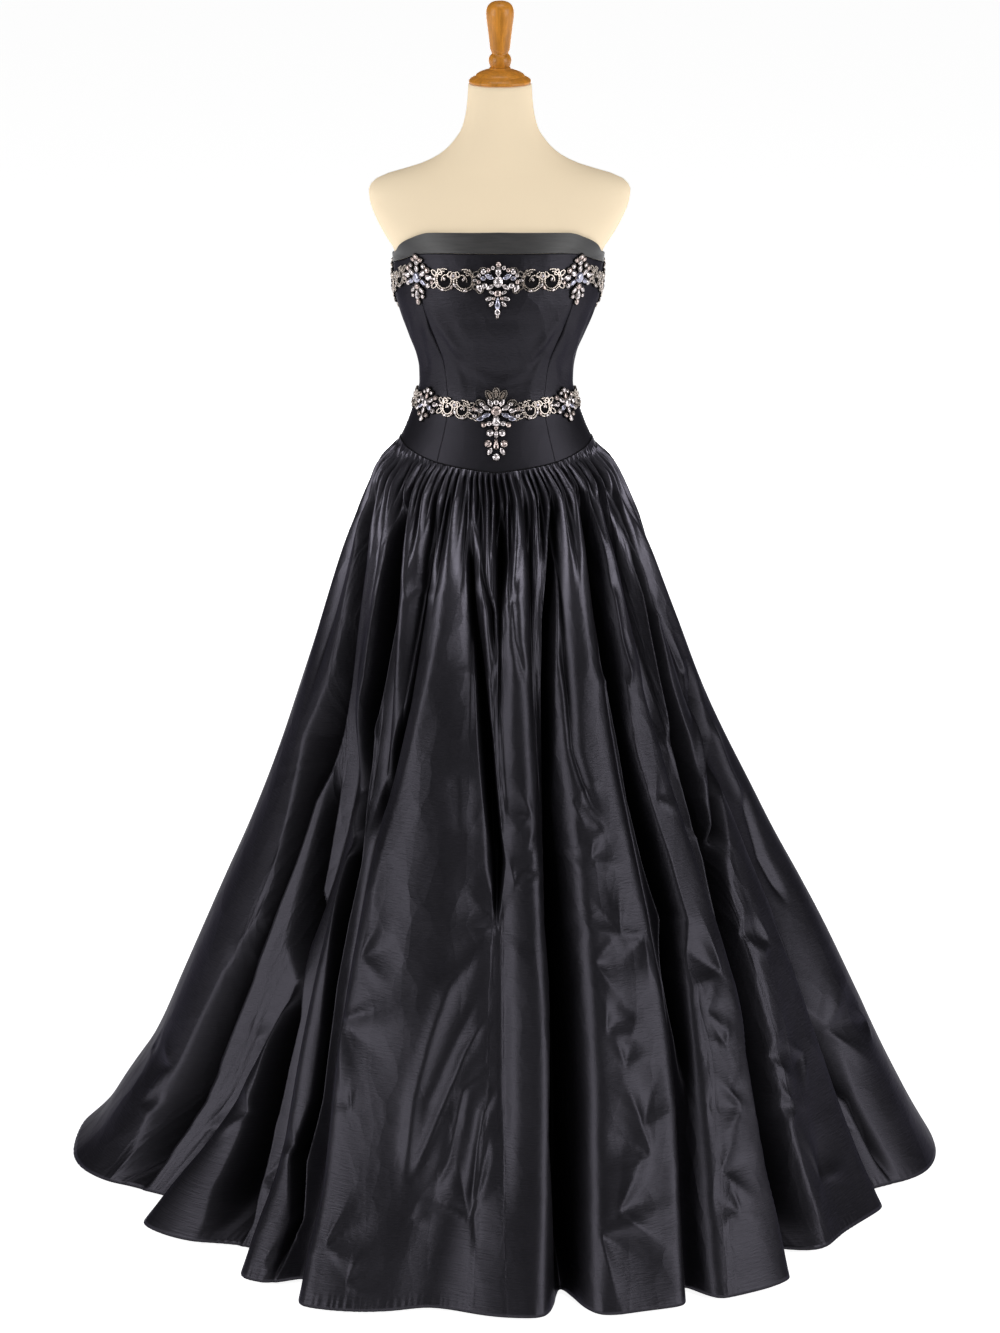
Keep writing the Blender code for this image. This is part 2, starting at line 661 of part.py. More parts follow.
def link_span(first, second):
    """Angle and height where a link leaves one motif and reaches the next, or the zip."""
    start = first[1] + degrees_for(0.001 * first[3] + LINK_GAP, first[1], first[2])
    if second is None:
        return start, first[2], 180.0 - degrees_for(ZIP_CLEAR, 180.0, first[2]), first[2]
    end = second[1] - degrees_for(0.001 * second[3] + LINK_GAP, second[1], second[2])
    return start, first[2], end, second[2]


def build_link(row, motifs, sign, surface):
    """One or two open ovals side by side, joined where they meet."""
    name, first, second, tall, count = row
    if sign < 0:
        name = name.replace("left", "right")
    following = None if second is None else motifs[second]
    start, start_height, end, end_height = link_span(motifs[first], following)
    sides = 10
    bm = bmesh.new()
    shared = {}

    def spot(share, up, lift):
        """A point at a share of the way along the link."""
        key = (round(share, 5), round(up, 5), lift)
        if key not in shared:
            angle = start + (end - start) * share
            height = start_height + (end_height - start_height) * share
            shared[key] = bm.verts.new(on_bodice(sign * angle, height, 0.0, up, lift))
        return shared[key]

    half = 0.5 / count
    for oval in range(count):
        centre = (oval + 0.5) / count
        loops = []
        for i in range(sides):
            a = math.tau * i / sides
            inner = (centre + 0.60 * half * math.cos(a), 0.00026 * tall * math.sin(a))
            outer = [centre + half * math.cos(a), 0.0005 * tall * math.sin(a)]
            if oval < count - 1 and i in (9, 0, 1):
                outer[0] = centre + half
            if oval > 0 and i in (4, 5, 6):
                outer[0] = centre - half
            loops.append((inner, tuple(outer)))
        for i in range(sides):
            j = (i + 1) % sides
            (in_a, out_a), (in_b, out_b) = loops[i], loops[j]
            top = LINK_WALL
            bm.faces.new((spot(*in_a, top), spot(*in_b, top), spot(*out_b, top), spot(*out_a, top)))
            bm.faces.new((spot(*in_a, 0.0), spot(*out_a, 0.0), spot(*out_b, 0.0), spot(*in_b, 0.0)))
            bm.faces.new((spot(*in_a, 0.0), spot(*in_b, 0.0), spot(*in_b, top), spot(*in_a, top)))
            touching = (oval < count - 1 and i in (9, 0)) or (oval > 0 and i in (4, 5))
            if not touching:
                bm.faces.new((spot(*out_a, 0.0), spot(*out_a, top), spot(*out_b, top), spot(*out_b, 0.0)))
    return finish(name, bm, surface)


# ---------------------------------------------------------------- everything together
def main():
    for leftover in list(bpy.data.objects):
        bpy.data.objects.remove(leftover)
    taffeta = material("taffeta", (0.020, 0.019, 0.023), 0.42)
    band_cloth = material("band_satin", (0.060, 0.062, 0.060), 0.38)
    jersey = material("form_jersey", (0.80, 0.66, 0.48), 0.75)
    wood = material("turned_wood", (0.52, 0.22, 0.05), 0.30, coat=0.5)
    metal = material("stand_metal", (0.05, 0.05, 0.05), 0.35, metallic=1.0)
    jewels = material("jewel_trim", (0.45, 0.40, 0.42), 0.25, metallic=0.6)
    tape = material("zip_tape", (0.015, 0.015, 0.017), 0.6)
    build_form(jersey)
    lathe("form_cap", CAP_PROFILE, CAP_BOTTOM, 20, wood)
    lathe("form_handle", HANDLE_PROFILE, CAP_BOTTOM + 0.0269, 16, wood)
    build_stand(metal)
    build_fitted(taffeta, band_cloth)
    build_zip(metal, tape)
    build_skirt(taffeta)
    for motifs, links in ((CHEST_MOTIFS, CHEST_LINKS), (WAIST_MOTIFS, WAIST_LINKS)):
        for sign in (1, -1):
            for row in motifs[0 if sign > 0 else 1:]:
                build_motif(row, sign, jewels)
            for row in links:
                build_link(row, motifs, sign, jewels)


main()
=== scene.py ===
"""Looks of a strapless ball gown on a limbless dress form.

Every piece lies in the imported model's frame: metres, Z up, the front towards -Y.  Angles run
round the body in degrees from the centre front (0) to the wearer's left (90) and the back (180).
Cloth pieces are one layer of cloth made from a grid of points, with their edges turned in.
"""
import math

import bpy
import numpy as np
from bpy.props import FloatProperty, FloatVectorProperty, IntProperty, PointerProperty
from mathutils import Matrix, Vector


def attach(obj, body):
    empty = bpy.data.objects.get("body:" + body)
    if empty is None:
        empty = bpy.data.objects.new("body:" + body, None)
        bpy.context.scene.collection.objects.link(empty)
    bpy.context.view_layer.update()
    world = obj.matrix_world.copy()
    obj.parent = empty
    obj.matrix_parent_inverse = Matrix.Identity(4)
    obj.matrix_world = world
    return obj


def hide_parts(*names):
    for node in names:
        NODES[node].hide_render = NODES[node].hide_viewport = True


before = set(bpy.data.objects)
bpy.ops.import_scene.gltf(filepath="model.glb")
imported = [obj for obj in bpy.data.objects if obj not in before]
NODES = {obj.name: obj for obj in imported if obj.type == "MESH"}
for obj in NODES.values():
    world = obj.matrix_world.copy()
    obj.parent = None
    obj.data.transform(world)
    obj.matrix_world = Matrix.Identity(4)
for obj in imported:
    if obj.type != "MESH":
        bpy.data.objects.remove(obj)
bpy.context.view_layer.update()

bl_info = {
    "name": "Ball Gown on Dress Form",
    "version": (1, 0, 0),
    "blender": (4, 5, 0),
    "location": "3D View > Sidebar > Gown",
    "description": "Gathered taffeta gown with jewelled trims on a padded form",
    "category": "Add Mesh",
}

# ---------------------------------------------------------------- sizes (m), most of them shared with the solids
MM = 0.001
CLOTH_GAP = 0.0015
CLOTH_WALL = 0.0015
SEAM_GAP = 0.0003
SKIRT_STAND_OFF = 0.0053
HEM_HEIGHT = 0.006
TRIM_LIFT = 0.0016
ZIP_HALF = 0.0022
BAND_RAISE = 0.0007
WAIST_LEAN = -0.0055
FORM_BOTTOM = 0.860
NECK_TOP = 1.5953
CAP_BOTTOM = 1.5912
HANDLE_BOTTOM = CAP_BOTTOM + 0.0269
# the skirt keeps this far off the form
FORM_CLEARANCE = 0.0045
# heights at the top of the main folds, and where the curve of each changes
SKIRT_TOP = 1.07
FOLD_MIDDLE = 0.55
# small gathers all round the seam
GATHERS_ROUND = 104.0
# pinches on the sides and back
HIDDEN_PINCH_COUNT = 52
# how strongly the tables' wrinkles and pinches show
WRINKLE_GAIN = 1.7
PINCH_GAIN = 0.062

# how finely the pieces are made: points round and up the form, sides of turned wood and rows
# added between those of its profile, sides of a cord; edges sharper than an angle stay sharp
FORM_COLUMNS = 120
FORM_ROWS = 110
WOOD_SIDES = 72
WOOD_STEPS = 4
WOOD_SMOOTH_ANGLE = 38.0
CORD_SIDES = 6

# the form: height, half width, depth in front, depth behind (mm, height in m)
FORM_SECTIONS = (
    (0.86, 150, 100, 112), (0.9, 168, 108, 122), (0.96, 175, 112, 126), (1.01, 165, 112, 120),
    (1.05, 149, 108, 111), (1.08, 137, 103, 103), (1.105, 126, 97, 95), (1.125, 118.5, 91, 89),
    (1.145, 112, 86.5, 85.5), (1.168, 107, 84, 84), (1.188, 107.5, 86, 85.5), (1.21, 111, 91, 89.5),
    (1.24, 123, 101, 95.5), (1.27, 135, 111.5, 100), (1.3, 143, 117.5, 102.5), (1.33, 145.3, 117, 104),
    (1.357, 148, 111, 104.5), (1.38, 161.5, 104, 103), (1.405, 175, 96, 99), (1.43, 184, 84, 91.5),
    (1.445, 185.5, 77, 86), (1.455, 181, 71.5, 80.5), (1.4635, 168, 66.5, 76), (1.472, 140, 62, 71),
    (1.482, 109, 58, 66.5), (1.496, 83.5, 54, 61), (1.511, 67.8, 51, 56), (1.533, 53.7, 47, 50),
    (1.562, 47.2, 44.5, 46.5), (1.5953, 44.6, 43.3, 44.3),
)

# edges round the body: angle, height
TOP_EDGE = (
    (0, 1.399), (34, 1.3965), (48, 1.387), (60, 1.376), (72, 1.364), (90, 1.355), (130, 1.352), (180, 1.35),
)
BAND_SEAM = ((0, 1.3702), (25, 1.3695), (45, 1.366), (65, 1.353), (90, 1.341), (130, 1.329), (180, 1.325))
WAIST_SEAM = ((0, 1.135), (62, 1.142), (90, 1.14), (180, 1.138))
BASQUE_SEAM = ((0, 1.057), (36, 1.0672), (62, 1.0785), (86, 1.0858), (120, 1.083), (180, 1.074))

# seams down the body: height, angle
PRINCESS_SEAM = ((1.4, 50), (1.3, 47), (1.24, 42.5), (1.17, 39.5), (1.14, 36), (1.06, 35.5))
SIDE_SEAM = ((1.4, 91), (1.06, 91))
BACK_SEAM = ((1.4, 142), (1.24, 139), (1.17, 141), (1.06, 145))

# the skirt between its folds: height, wearer's left side, right side, front, back (mm)
SKIRT_SECTIONS = (
    (0.006, 650, 644, 669, 660), (0.06, 619, 600, 634, 628), (0.108, 594, 557, 604, 600),
    (0.15, 573, 526, 579, 576), (0.186, 556, 507, 558, 556), (0.265, 520, 473, 517, 518),
    (0.342, 484, 440, 476, 479), (0.42, 445, 407, 435, 440), (0.496, 406, 375, 393, 399),
    (0.573, 370, 346, 354, 361), (0.649, 334, 320, 316, 323), (0.724, 301, 296, 279, 287),
    (0.812, 266, 266, 242, 252), (0.874, 241, 244, 214, 223), (0.949, 214, 218, 185, 192),
    (1.006, 187, 194, 154, 160), (1.048, 165, 175, 131, 134), (1.091, 139, 149, 108, 108),
)

# main folds, a valley each with the lobe after it: angle at the seam, at half height and at the
# hem, depth at the hem (mm), half widths before and after (degrees), how far the lobe after it
# stands out at half height and at the hem (mm), heights between which the valley lives
FOLDS = (
    (-64.0, -57.5, -65.0, 92.0, 13.0, 4.2, -20, -46, 0.00, 1.07),
    (-53.0, -46.5, -40.0, 86.0, 10.0, 3.0, -16, -24, 0.00, 0.76),
    (-45.0, -34.0, -27.6, 70.0, 3.5, 2.0, 4, 18, 0.00, 1.07),
    (-26.0, -29.5, -19.0, 34.0, 3.0, 3.0, 6, 8, 0.50, 1.07),
    (-9.0, -3.4, -9.0, 34.0, 6.0, 8.0, 6, 2, 0.00, 1.07),
    (2.0, 0.2, 0.6, 12.0, 2.0, 1.5, 6, 3, 0.10, 1.07),
    (18.0, 12.2, 8.6, 96.0, 2.3, 2.3, 6, 7, 0.00, 1.07),
    (39.5, 32.6, 25.0, 58.0, 1.7, 1.7, 4, 10, 0.00, 1.07),
    (53.0, 50.2, 41.6, 100.0, 2.1, 4.6, -8, -52, 0.00, 1.07),
    (67.0, 74.0, 70.5, 52.0, 3.5, 7.0, 0, 0, 0.00, 1.07),
    (87.0, 104.0, 108.0, 74.0, 5.0, 4.0, 0, -6, 0.00, 1.07),
    (110.0, 123.0, 127.0, 66.0, 4.0, 5.0, 2, 4, 0.00, 1.07),
    (130.0, 143.0, 147.0, 88.0, 5.0, 4.0, -4, -10, 0.00, 1.07),
    (152.0, 161.0, 166.0, 60.0, 3.5, 4.5, 4, 8, 0.00, 1.07),
    (176.0, 180.0, 187.0, 92.0, 4.0, 4.0, 0, 2, 0.00, 1.07),
    (200.0, 203.0, 208.0, 68.0, 4.0, 5.0, 4, -8, 0.00, 1.07),
    (223.0, 225.0, 229.0, 84.0, 5.0, 4.0, 0, 6, 0.00, 1.07),
    (246.0, 248.0, 250.0, 72.0, 4.5, 6.0, 0, 0, 0.00, 1.07),
)
# columns of the cloth grid from each valley to the next
FOLD_COLUMNS = (120, 90, 60, 76, 56, 56, 84, 92, 130, 120, 60, 64, 60, 64, 60, 64, 60, 110)
SKIRT_ROWS = 212

# skirt panels: name, first and last valley they run between
SKIRT_PANELS = (
    ("skirt_front", 2, 8),
    ("skirt_side_left", 8, 11),
    ("skirt_back_left", 11, 14),
    ("skirt_back_right", 14, 17),
    ("skirt_side_right", 17, 20),
)


# ---------------------------------------------------------------- smooth curves through tables
def smooth(t):
    t = np.clip(t, 0.0, 1.0)
    return t * t * (3.0 - 2.0 * t)


def table_curve(rows, column, scale=1.0):
    """One column of a table as a smooth function of its first column, without overshooting."""
    ordered = sorted(rows)
    xs = np.array([row[0] for row in ordered], dtype=float)
    ys = np.array([row[column] for row in ordered], dtype=float) * scale
    steps = np.diff(ys) / np.diff(xs)
    before = steps[:-1]
    after = steps[1:]
    total = np.where(before + after == 0.0, 1.0, before + after)
    inside = np.where(before * after > 0.0, 2.0 * before * after / total, 0.0)
    slopes = np.concatenate((steps[:1], inside, steps[-1:]))

    def value(x):
        x = np.clip(np.asarray(x, dtype=float), xs[0], xs[-1])
        i = np.clip(np.searchsorted(xs, x, side="right") - 1, 0, len(xs) - 2)
        width = xs[i + 1] - xs[i]
        t = (x - xs[i]) / width
        start = (1.0 + 2.0 * t) * (1.0 - t) ** 2 * ys[i] + t * (1.0 - t) ** 2 * width * slopes[i]
        end = t * t * (3.0 - 2.0 * t) * ys[i + 1] + t * t * (t - 1.0) * width * slopes[i + 1]
        return start + end

    return value


form_half, form_front, form_back = (table_curve(FORM_SECTIONS, column, MM) for column in (1, 2, 3))
skirt_left, skirt_right, skirt_front, skirt_back = (
    table_curve(SKIRT_SECTIONS, column, MM) for column in (1, 2, 3, 4)
)
top_edge, band_seam, waist_seam, basque_seam, princess_seam, side_seam, back_seam = (
    table_curve(rows, 1)
    for rows in (TOP_EDGE, BAND_SEAM, WAIST_SEAM, BASQUE_SEAM, PRINCESS_SEAM, SIDE_SEAM, BACK_SEAM)
)


def turn_from(centre, angle):
    """Degrees round the body from one direction to another, -180 to 180."""
    return (angle - centre + 180.0) % 360.0 - 180.0


def away_from_front(angle):
    """The angle folded into 0..180, for edges that are alike on both sides."""
    return np.abs(turn_from(0.0, angle))


def turned(x, y, degrees):
    """Numbers in a plane turned about its middle."""
    c = math.cos(math.radians(degrees))
    s = math.sin(math.radians(degrees))
    return x * c - y * s, x * s + y * c


# ---------------------------------------------------------------- the form's surface
def form_point(angle, height):
    angle, height = np.broadcast_arrays(np.asarray(angle, dtype=float), np.asarray(height, dtype=float))
    a = np.radians(angle)
    depth = np.where(np.cos(a) > 0.0, form_front(height), form_back(height))
    lean = WAIST_LEAN * (1.0 - smooth((height - 1.15) / 0.36))
    return np.stack((lean + form_half(height) * np.sin(a), -depth * np.cos(a), height), axis=-1)


def unit(vectors):
    return vectors / np.maximum(np.linalg.norm(vectors, axis=-1, keepdims=True), 1e-12)


def form_normal(angle, height):
    round_it = form_point(angle + 0.5, height) - form_point(angle - 0.5, height)
    up_it = form_point(angle, height + 0.002) - form_point(angle, height - 0.002)
    return unit(np.cross(round_it, up_it))


def on_form(angle, height, lift):
    """Points of the form's surface moved out along its normal."""
    angle = np.asarray(angle, dtype=float)
    height = np.asarray(height, dtype=float)
    return form_point(angle, height) + form_normal(angle, height) * np.asarray(lift)[..., None]


def degrees_for(length, angle, height):
    """How many degrees round the body a length takes at a place."""
    angle = np.asarray(angle, dtype=float)
    step = np.linalg.norm(form_point(angle + 0.5, height) - form_point(angle - 0.5, height), axis=-1)
    return length / step


def on_bodice(angle, height, right, up, lift):
    """Points on the dressed body beside a place: metres to the right and up, then out."""
    there = height + up
    turned = angle + degrees_for(1.0, angle, there) * right
    return on_form(turned, there, CLOTH_GAP + CLOTH_WALL + TRIM_LIFT + lift)


# ---------------------------------------------------------------- meshes
def new_object(name, verts, faces, materials, smooth_faces=True, indices=None):
    """A named object at the origin from points and faces."""
    mesh = bpy.data.meshes.new(name)
    mesh.from_pydata([tuple(v) for v in np.asarray(verts).tolist()], [], faces)
    for surface in materials:
        mesh.materials.append(surface)
    mesh.polygons.foreach_set("use_smooth", [smooth_faces] * len(mesh.polygons))
    if indices is not None:
        mesh.polygons.foreach_set("material_index", indices)
    mesh.update()
    made = bpy.data.objects.new(name, mesh)
    bpy.context.scene.collection.objects.link(made)
    return made


def cloth(name, points, around, down, surface):
    """One layer of cloth: rows of points run down it, columns run round, lengths in metres are its UV."""
    rows, columns = points.shape[:2]
    index = np.arange(rows * columns).reshape(rows, columns)
    faces = np.stack((index[:-1, :-1], index[1:, :-1], index[1:, 1:], index[:-1, 1:]), axis=-1).reshape(-1, 4)
    made = new_object(name, points.reshape(-1, 3), faces.tolist(), [surface])
    layer = made.data.uv_layers.new(name="cut")
    u, v = np.broadcast_arrays(around, down)
    flat = np.stack((u.reshape(-1), -v.reshape(-1)), axis=-1)
    layer.data.foreach_set("uv", flat[faces.reshape(-1)].reshape(-1))
    return made


def tube_faces(rows, sides):
    """Faces of a tube whose points run round it row by row."""
    faces = []
    for r in range(rows - 1):
        for c in range(sides):
            d = (c + 1) % sides
            faces.append((r * sides + c, r * sides + d, (r + 1) * sides + d, (r + 1) * sides + c))
    return faces


def arc(points, axis):
    """Length run along one axis of a grid of points, from its first row or column."""
    steps = np.linalg.norm(np.diff(points, axis=axis), axis=-1)
    start = np.zeros_like(np.take(steps, [0], axis=axis))
    return np.concatenate((start, np.cumsum(steps, axis=axis)), axis=axis)


def waves(x, seed, count=400):
    """A smooth uneven curve through fixed uneven values, one for each whole x, from -1 to 1."""
    values = np.random.RandomState(seed).uniform(-1.0, 1.0, count)
    low = np.floor(x).astype(int)
    t = smooth(x - low)
    return values[low % count] * (1.0 - t) + values[(low + 1) % count] * t


# ---------------------------------------------------------------- materials
class Signal:
    """A number that varies over a surface.  Arithmetic on it adds Math nodes."""

    def __init__(self, paint, socket):
        self.paint = paint
        self.socket = socket

    def joined(self, operation, first, second):
        made = self.paint.node("ShaderNodeMath", {"operation": operation}, {0: first, 1: second})
        return Signal(self.paint, made.outputs[0])

    def __add__(self, other):
        return self.joined("ADD", self, other)

    def __radd__(self, other):
        return self.joined("ADD", other, self)

    def __sub__(self, other):
        return self.joined("SUBTRACT", self, other)

    def __rsub__(self, other):
        return self.joined("SUBTRACT", other, self)

    def __mul__(self, other):
        return self.joined("MULTIPLY", self, other)

    def __rmul__(self, other):
        return self.joined("MULTIPLY", other, self)

    def __pow__(self, other):
        return self.joined("POWER", self, other)


class Paint:
    """A material being made.  Every node comes from node()."""

    def __init__(self, name):
        self.material = bpy.data.materials.new(name)
        self.material.use_nodes = True
        self.tree = self.material.node_tree
        self.shader = self.tree.nodes["Principled BSDF"]

    def node(self, kind, settings=None, inputs=None):
        """A node of a type with its settings, and the values or links of its sockets."""
        made = self.tree.nodes.new(kind)
        for key, value in (settings or {}).items():
            setattr(made, key, value)
        for key, value in (inputs or {}).items():
            self.put(made.inputs[key], value)
        return made

    def put(self, socket, value):
        if isinstance(value, Signal):
            self.tree.links.new(value.socket, socket)
        elif isinstance(value, bpy.types.NodeSocket):
            self.tree.links.new(value, socket)
        else:
            socket.default_value = value

    def place(self, kind, scale, turn=(0.0, 0.0, 0.0)):
        """Where on the surface: kind is UV or Object, scale the repeats in a metre."""
        source = self.node("ShaderNodeTexCoord").outputs[kind]
        mapping = self.node("ShaderNodeMapping", None, {"Vector": source, "Scale": scale, "Rotation": turn})
        return mapping.outputs["Vector"]

    def noise(self, kind, scale, detail, roughness, distortion=0.0):
        inputs = {"Vector": self.place(kind, scale), "Scale": 1.0, "Detail": detail}
        inputs.update({"Roughness": roughness, "Distortion": distortion})
        return Signal(self, self.node("ShaderNodeTexNoise", None, inputs).outputs["Fac"])

    def cells(self, kind, scale, turn):
        """Distance to the nearest of a scatter of points."""
        inputs = {"Vector": self.place(kind, scale, (0.0, 0.0, turn)), "Scale": 1.0}
        return Signal(self, self.node("ShaderNodeTexVoronoi", {"feature": "F1"}, inputs).outputs["Distance"])

    def blend(self, amount, first, second):
        """Colour between two colours by an amount from 0 to 1."""
        made = self.node("ShaderNodeMix", {"data_type": "RGBA"}, {0: amount, 6: first, 7: second})
        return made.outputs[2]

    def bump(self, height):
        """Relief of the finish, its height in millimetres."""
        made = self.node("ShaderNodeBump", None, {"Height": height, "Distance": MM, "Strength": 1.0})
        self.put(self.shader.inputs["Normal"], made.outputs["Normal"])

    def look(self, **values):
        for key, value in values.items():
            self.put(self.shader.inputs[key.replace("_", " ")], value)
        return self.material


def rgba(colour, gain=1.0):
    """A colour made lighter or darker."""
    return tuple(min(1.0, channel * gain) for channel in colour[:3]) + (1.0,)


def taffeta_like(name, gain, roughness, grain, crinkle, folded):
    """Plain-woven lustrous silk: slubs along the weft, a cloudy tone and fine crinkles; a folded one also has painted
    shade in its folds and a painted highlight on its gathers' ridges.
    """
    paint = Paint(name)
    colour = rgba(bpy.context.scene.gown_colours.taffeta, gain)
    paint.shader.inputs["Metallic"].default_value = 0.88
    paint.shader.inputs["Specular Tint"].default_value = (0.34, 0.33, 0.37, 1.0)
    slub = paint.noise("UV", (110.0, 900.0, 1.0), 2.0, 0.6)
    cloud = paint.noise("UV", (14.0, 9.0, 1.0), 3.0, 0.6)
    thread = paint.noise("UV", (900.0, 260.0, 1.0), 1.0, 0.5)
    tone = (slub - 0.5) * grain + (cloud - 0.5) * 0.5 + 0.5
    fold = paint.noise("UV", (34.0, 20.0, 1.0), 2.0, 0.5, 0.6)
    fine = paint.noise("UV", (75.0, 360.0, 1.0), 2.0, 0.5, 0.6)
    where = paint.noise("UV", (6.0, 4.0, 1.0), 2.0, 0.5)
    facets = paint.cells("UV", (17.0, 7.0, 1.0), 0.2) ** 2.0
    small = paint.cells("UV", (40.0, 22.0, 1.0), -0.5) ** 2.0
    crumple = (facets * 11.0 + small * 5.0) * where ** 2.0 * crinkle
    paint.bump(crumple + fold * crinkle + fine * (crinkle * 0.60) + slub * 0.12 + thread * 0.03)
    base = paint.blend(tone, rgba(colour, 0.62), rgba(colour, 1.4))
    gloss = (cloud - 0.5) * 0.12 + (slub - 0.5) * 0.10 + roughness
    if folded:
        fold = Signal(paint, paint.node("ShaderNodeAttribute", {"attribute_name": "fold"}).outputs["Fac"])
        # painted highlight: where the fold attribute is below 0, on the gathers' ridges, the colour is lightened up
        # to 2.6 times
        base = paint.blend(fold * -1.0, base, rgba(colour, 2.6))
        # painted shade: inside the folds and the gathers' gaps the colour darkens towards 0.08 of itself
        base = paint.blend(fold * 0.9, base, rgba(colour, 0.08))
        gloss = gloss + fold * 0.12
    return paint.look(Base_Color=base, Roughness=gloss)


def band_satin():
    """Ribbed band cloth with a mottled grain that runs round the body, and painted shade that darkens it towards the
    body's sides.
    """
    paint = Paint("band_satin")
    colour = bpy.context.scene.gown_colours.band
    grain = paint.noise("UV", (26.0, 260.0, 1.0), 4.0, 0.65, 0.4)
    rib = paint.noise("UV", (60.0, 1100.0, 1.0), 1.0, 0.5)
    cloud = paint.noise("UV", (18.0, 60.0, 1.0), 2.0, 0.5)
    paint.bump(rib * 0.10 + grain * 0.12)
    where = paint.node("ShaderNodeSeparateXYZ", None, {0: paint.place("Object", (1.0, 1.0, 1.0))})
    across = Signal(paint, where.outputs["X"])
    # painted shade: towards either side of the body (by its x) the band is blended towards a dark taffeta tone, where
    # it turns away from the light
    side = across * across * 130.0 - 1.35
    base = paint.blend((grain - 0.5) * 1.5 + (cloud - 0.5) * 0.7 + 0.5, rgba(colour, 0.6), rgba(colour, 1.5))
    return paint.look(
        Base_Color=paint.blend(side, base, rgba(bpy.context.scene.gown_colours.taffeta, 0.35)),
        Roughness=(grain - 0.5) * 0.2 + 0.42,
    )


def form_jersey():
    """Fine knitted cover pulled smooth over the padding."""
    paint = Paint("form_jersey")
    colour = bpy.context.scene.gown_colours.jersey
    knit = paint.noise("Object", (900.0, 900.0, 1500.0), 1.0, 0.5)
    tone = paint.noise("Object", (7.0, 7.0, 5.0), 2.0, 0.5)
    paint.bump(knit * 0.10)
    return paint.look(
        Base_Color=paint.blend((tone - 0.5) * 0.6 + (knit - 0.5) * 0.3 + 0.5, rgba(colour, 0.94), rgba(colour, 1.05)),
        Roughness=0.75,
    )


def turned_wood():
    """Varnished wood turned on a lathe, the grain along its axis with fine turning lines round it."""
    paint = Paint("turned_wood")
    paint.shader.inputs["Specular IOR Level"].default_value = 0.30
    colour = bpy.context.scene.gown_colours.wood
    grain = paint.noise("Object", (150.0, 150.0, 12.0), 4.0, 0.6, 0.8)
    pores = paint.noise("Object", (700.0, 700.0, 60.0), 2.0, 0.6)
    lines = paint.noise("Object", (3.0, 3.0, 1400.0), 1.0, 0.5)
    paint.bump(pores * 0.04 + lines * 0.03)
    tone = (grain - 0.5) * 1.5 + (pores - 0.5) * 0.4 + (lines - 0.5) * 0.25 + 0.5
    return paint.look(
        Base_Color=paint.blend(tone, rgba(colour, 0.55), rgba(colour, 1.35)),
        Roughness=(grain - 0.5) * 0.15 + 0.44,
        Coat_Weight=0.22,
        Coat_Roughness=0.10,
    )


def plain_finish(name, scale, detail, rough, relief, dark, light, contrast, spread, **values):
    """A finish with one grain, which moves its colour, its gloss and its relief."""
    paint = Paint(name)
    grain = paint.noise("Object", scale, detail, rough)
    paint.bump(grain * relief)
    tone = (grain - 0.5) * contrast + 0.5 if contrast else grain
    if spread:
        values["Roughness"] = (grain - 0.5) * spread + values["Roughness"]
    return paint.look(Base_Color=paint.blend(tone, dark, light), **values)


def crystal(name, colour):
    """Foil-backed cut glass."""
    dark = rgba(colour, 0.35)
    light = rgba(colour, 1.25)
    gloss = {"Roughness": 0.14, "Metallic": 0.75, "Coat_Weight": 0.8, "Coat_Roughness": 0.04}
    return plain_finish(name, (230.0, 230.0, 230.0), 1.0, 0.5, 0.35, dark, light, 2.2, 0.1, **gloss)


# taffetas: how light, roughness, strength of the grain and of the crinkles, whether painted shade darkens its folds
# and a painted highlight lightens its gathers' ridges
TAFFETAS = {
    "taffeta": (1.0, 0.43, 0.60, 0.60, True),
    "bodice_taffeta": (0.92, 0.48, 0.50, 0.75, False),
    "basque_taffeta": (0.94, 0.52, 0.40, 0.20, False),
}
CRYSTALS = {
    "clear_crystal": (0.74, 0.67, 0.68),
    "rose_crystal": (0.60, 0.48, 0.45),
    "lavender_crystal": (0.42, 0.42, 0.54),
}
# plain finishes: repeats in a metre, detail and roughness of the grain, relief (mm), dark and light
# colour, contrast (0 for the grain as it is), how far the gloss varies; then the other inputs
PLAIN_FINISHES = {
    # black-brown lacquered steel
    "stand_metal": (
        ((60.0, 60.0, 60.0), 4.0, 0.6, 0.05, (0.020, 0.019, 0.018, 1.0), (0.050, 0.047, 0.045, 1.0), 0.0, 0.2),
        {"Roughness": 0.38, "Metallic": 0.7},
    ),
    # silvered brass settings and cords, darkened in their hollows
    "jewel_metal": (
        ((420.0, 420.0, 420.0), 2.0, 0.6, 0.10, (0.16, 0.135, 0.12, 1.0), (0.90, 0.80, 0.72, 1.0), 0.0, 0.2),
        {"Roughness": 0.26, "Metallic": 0.9},
    ),
    # black felted backing cloth under the stones
    "trim_backing": (
        ((700.0, 700.0, 700.0), 3.0, 0.6, 0.20, (0.004, 0.004, 0.005, 1.0), (0.014, 0.013, 0.015, 1.0), 0.0, 0.0),
        {"Roughness": 0.8, "Specular_IOR_Level": 0.08},
    ),
    # woven zip tape with its coil pressed together along the middle
    "zip_tape": (
        ((900.0, 900.0, 1600.0), 1.0, 0.5, 0.15, (0.006, 0.006, 0.007, 1.0), (0.026, 0.025, 0.028, 1.0), 0.0, 0.0),
        {"Roughness": 0.6},
    ),
}
MADE = {}


def finish_of(name):
    """A finish by name, made the first time it is asked for."""
    if name not in MADE:
        if name in TAFFETAS:
            MADE[name] = taffeta_like(name, *TAFFETAS[name])
        elif name in CRYSTALS:
            MADE[name] = crystal(name, CRYSTALS[name])
        elif name in PLAIN_FINISHES:
            grain, values = PLAIN_FINISHES[name]
            MADE[name] = plain_finish(name, *grain, **values)
        else:
            made_alone = {"band_satin": band_satin, "form_jersey": form_jersey, "turned_wood": turned_wood}
            MADE[name] = made_alone[name]()
    return MADE[name]


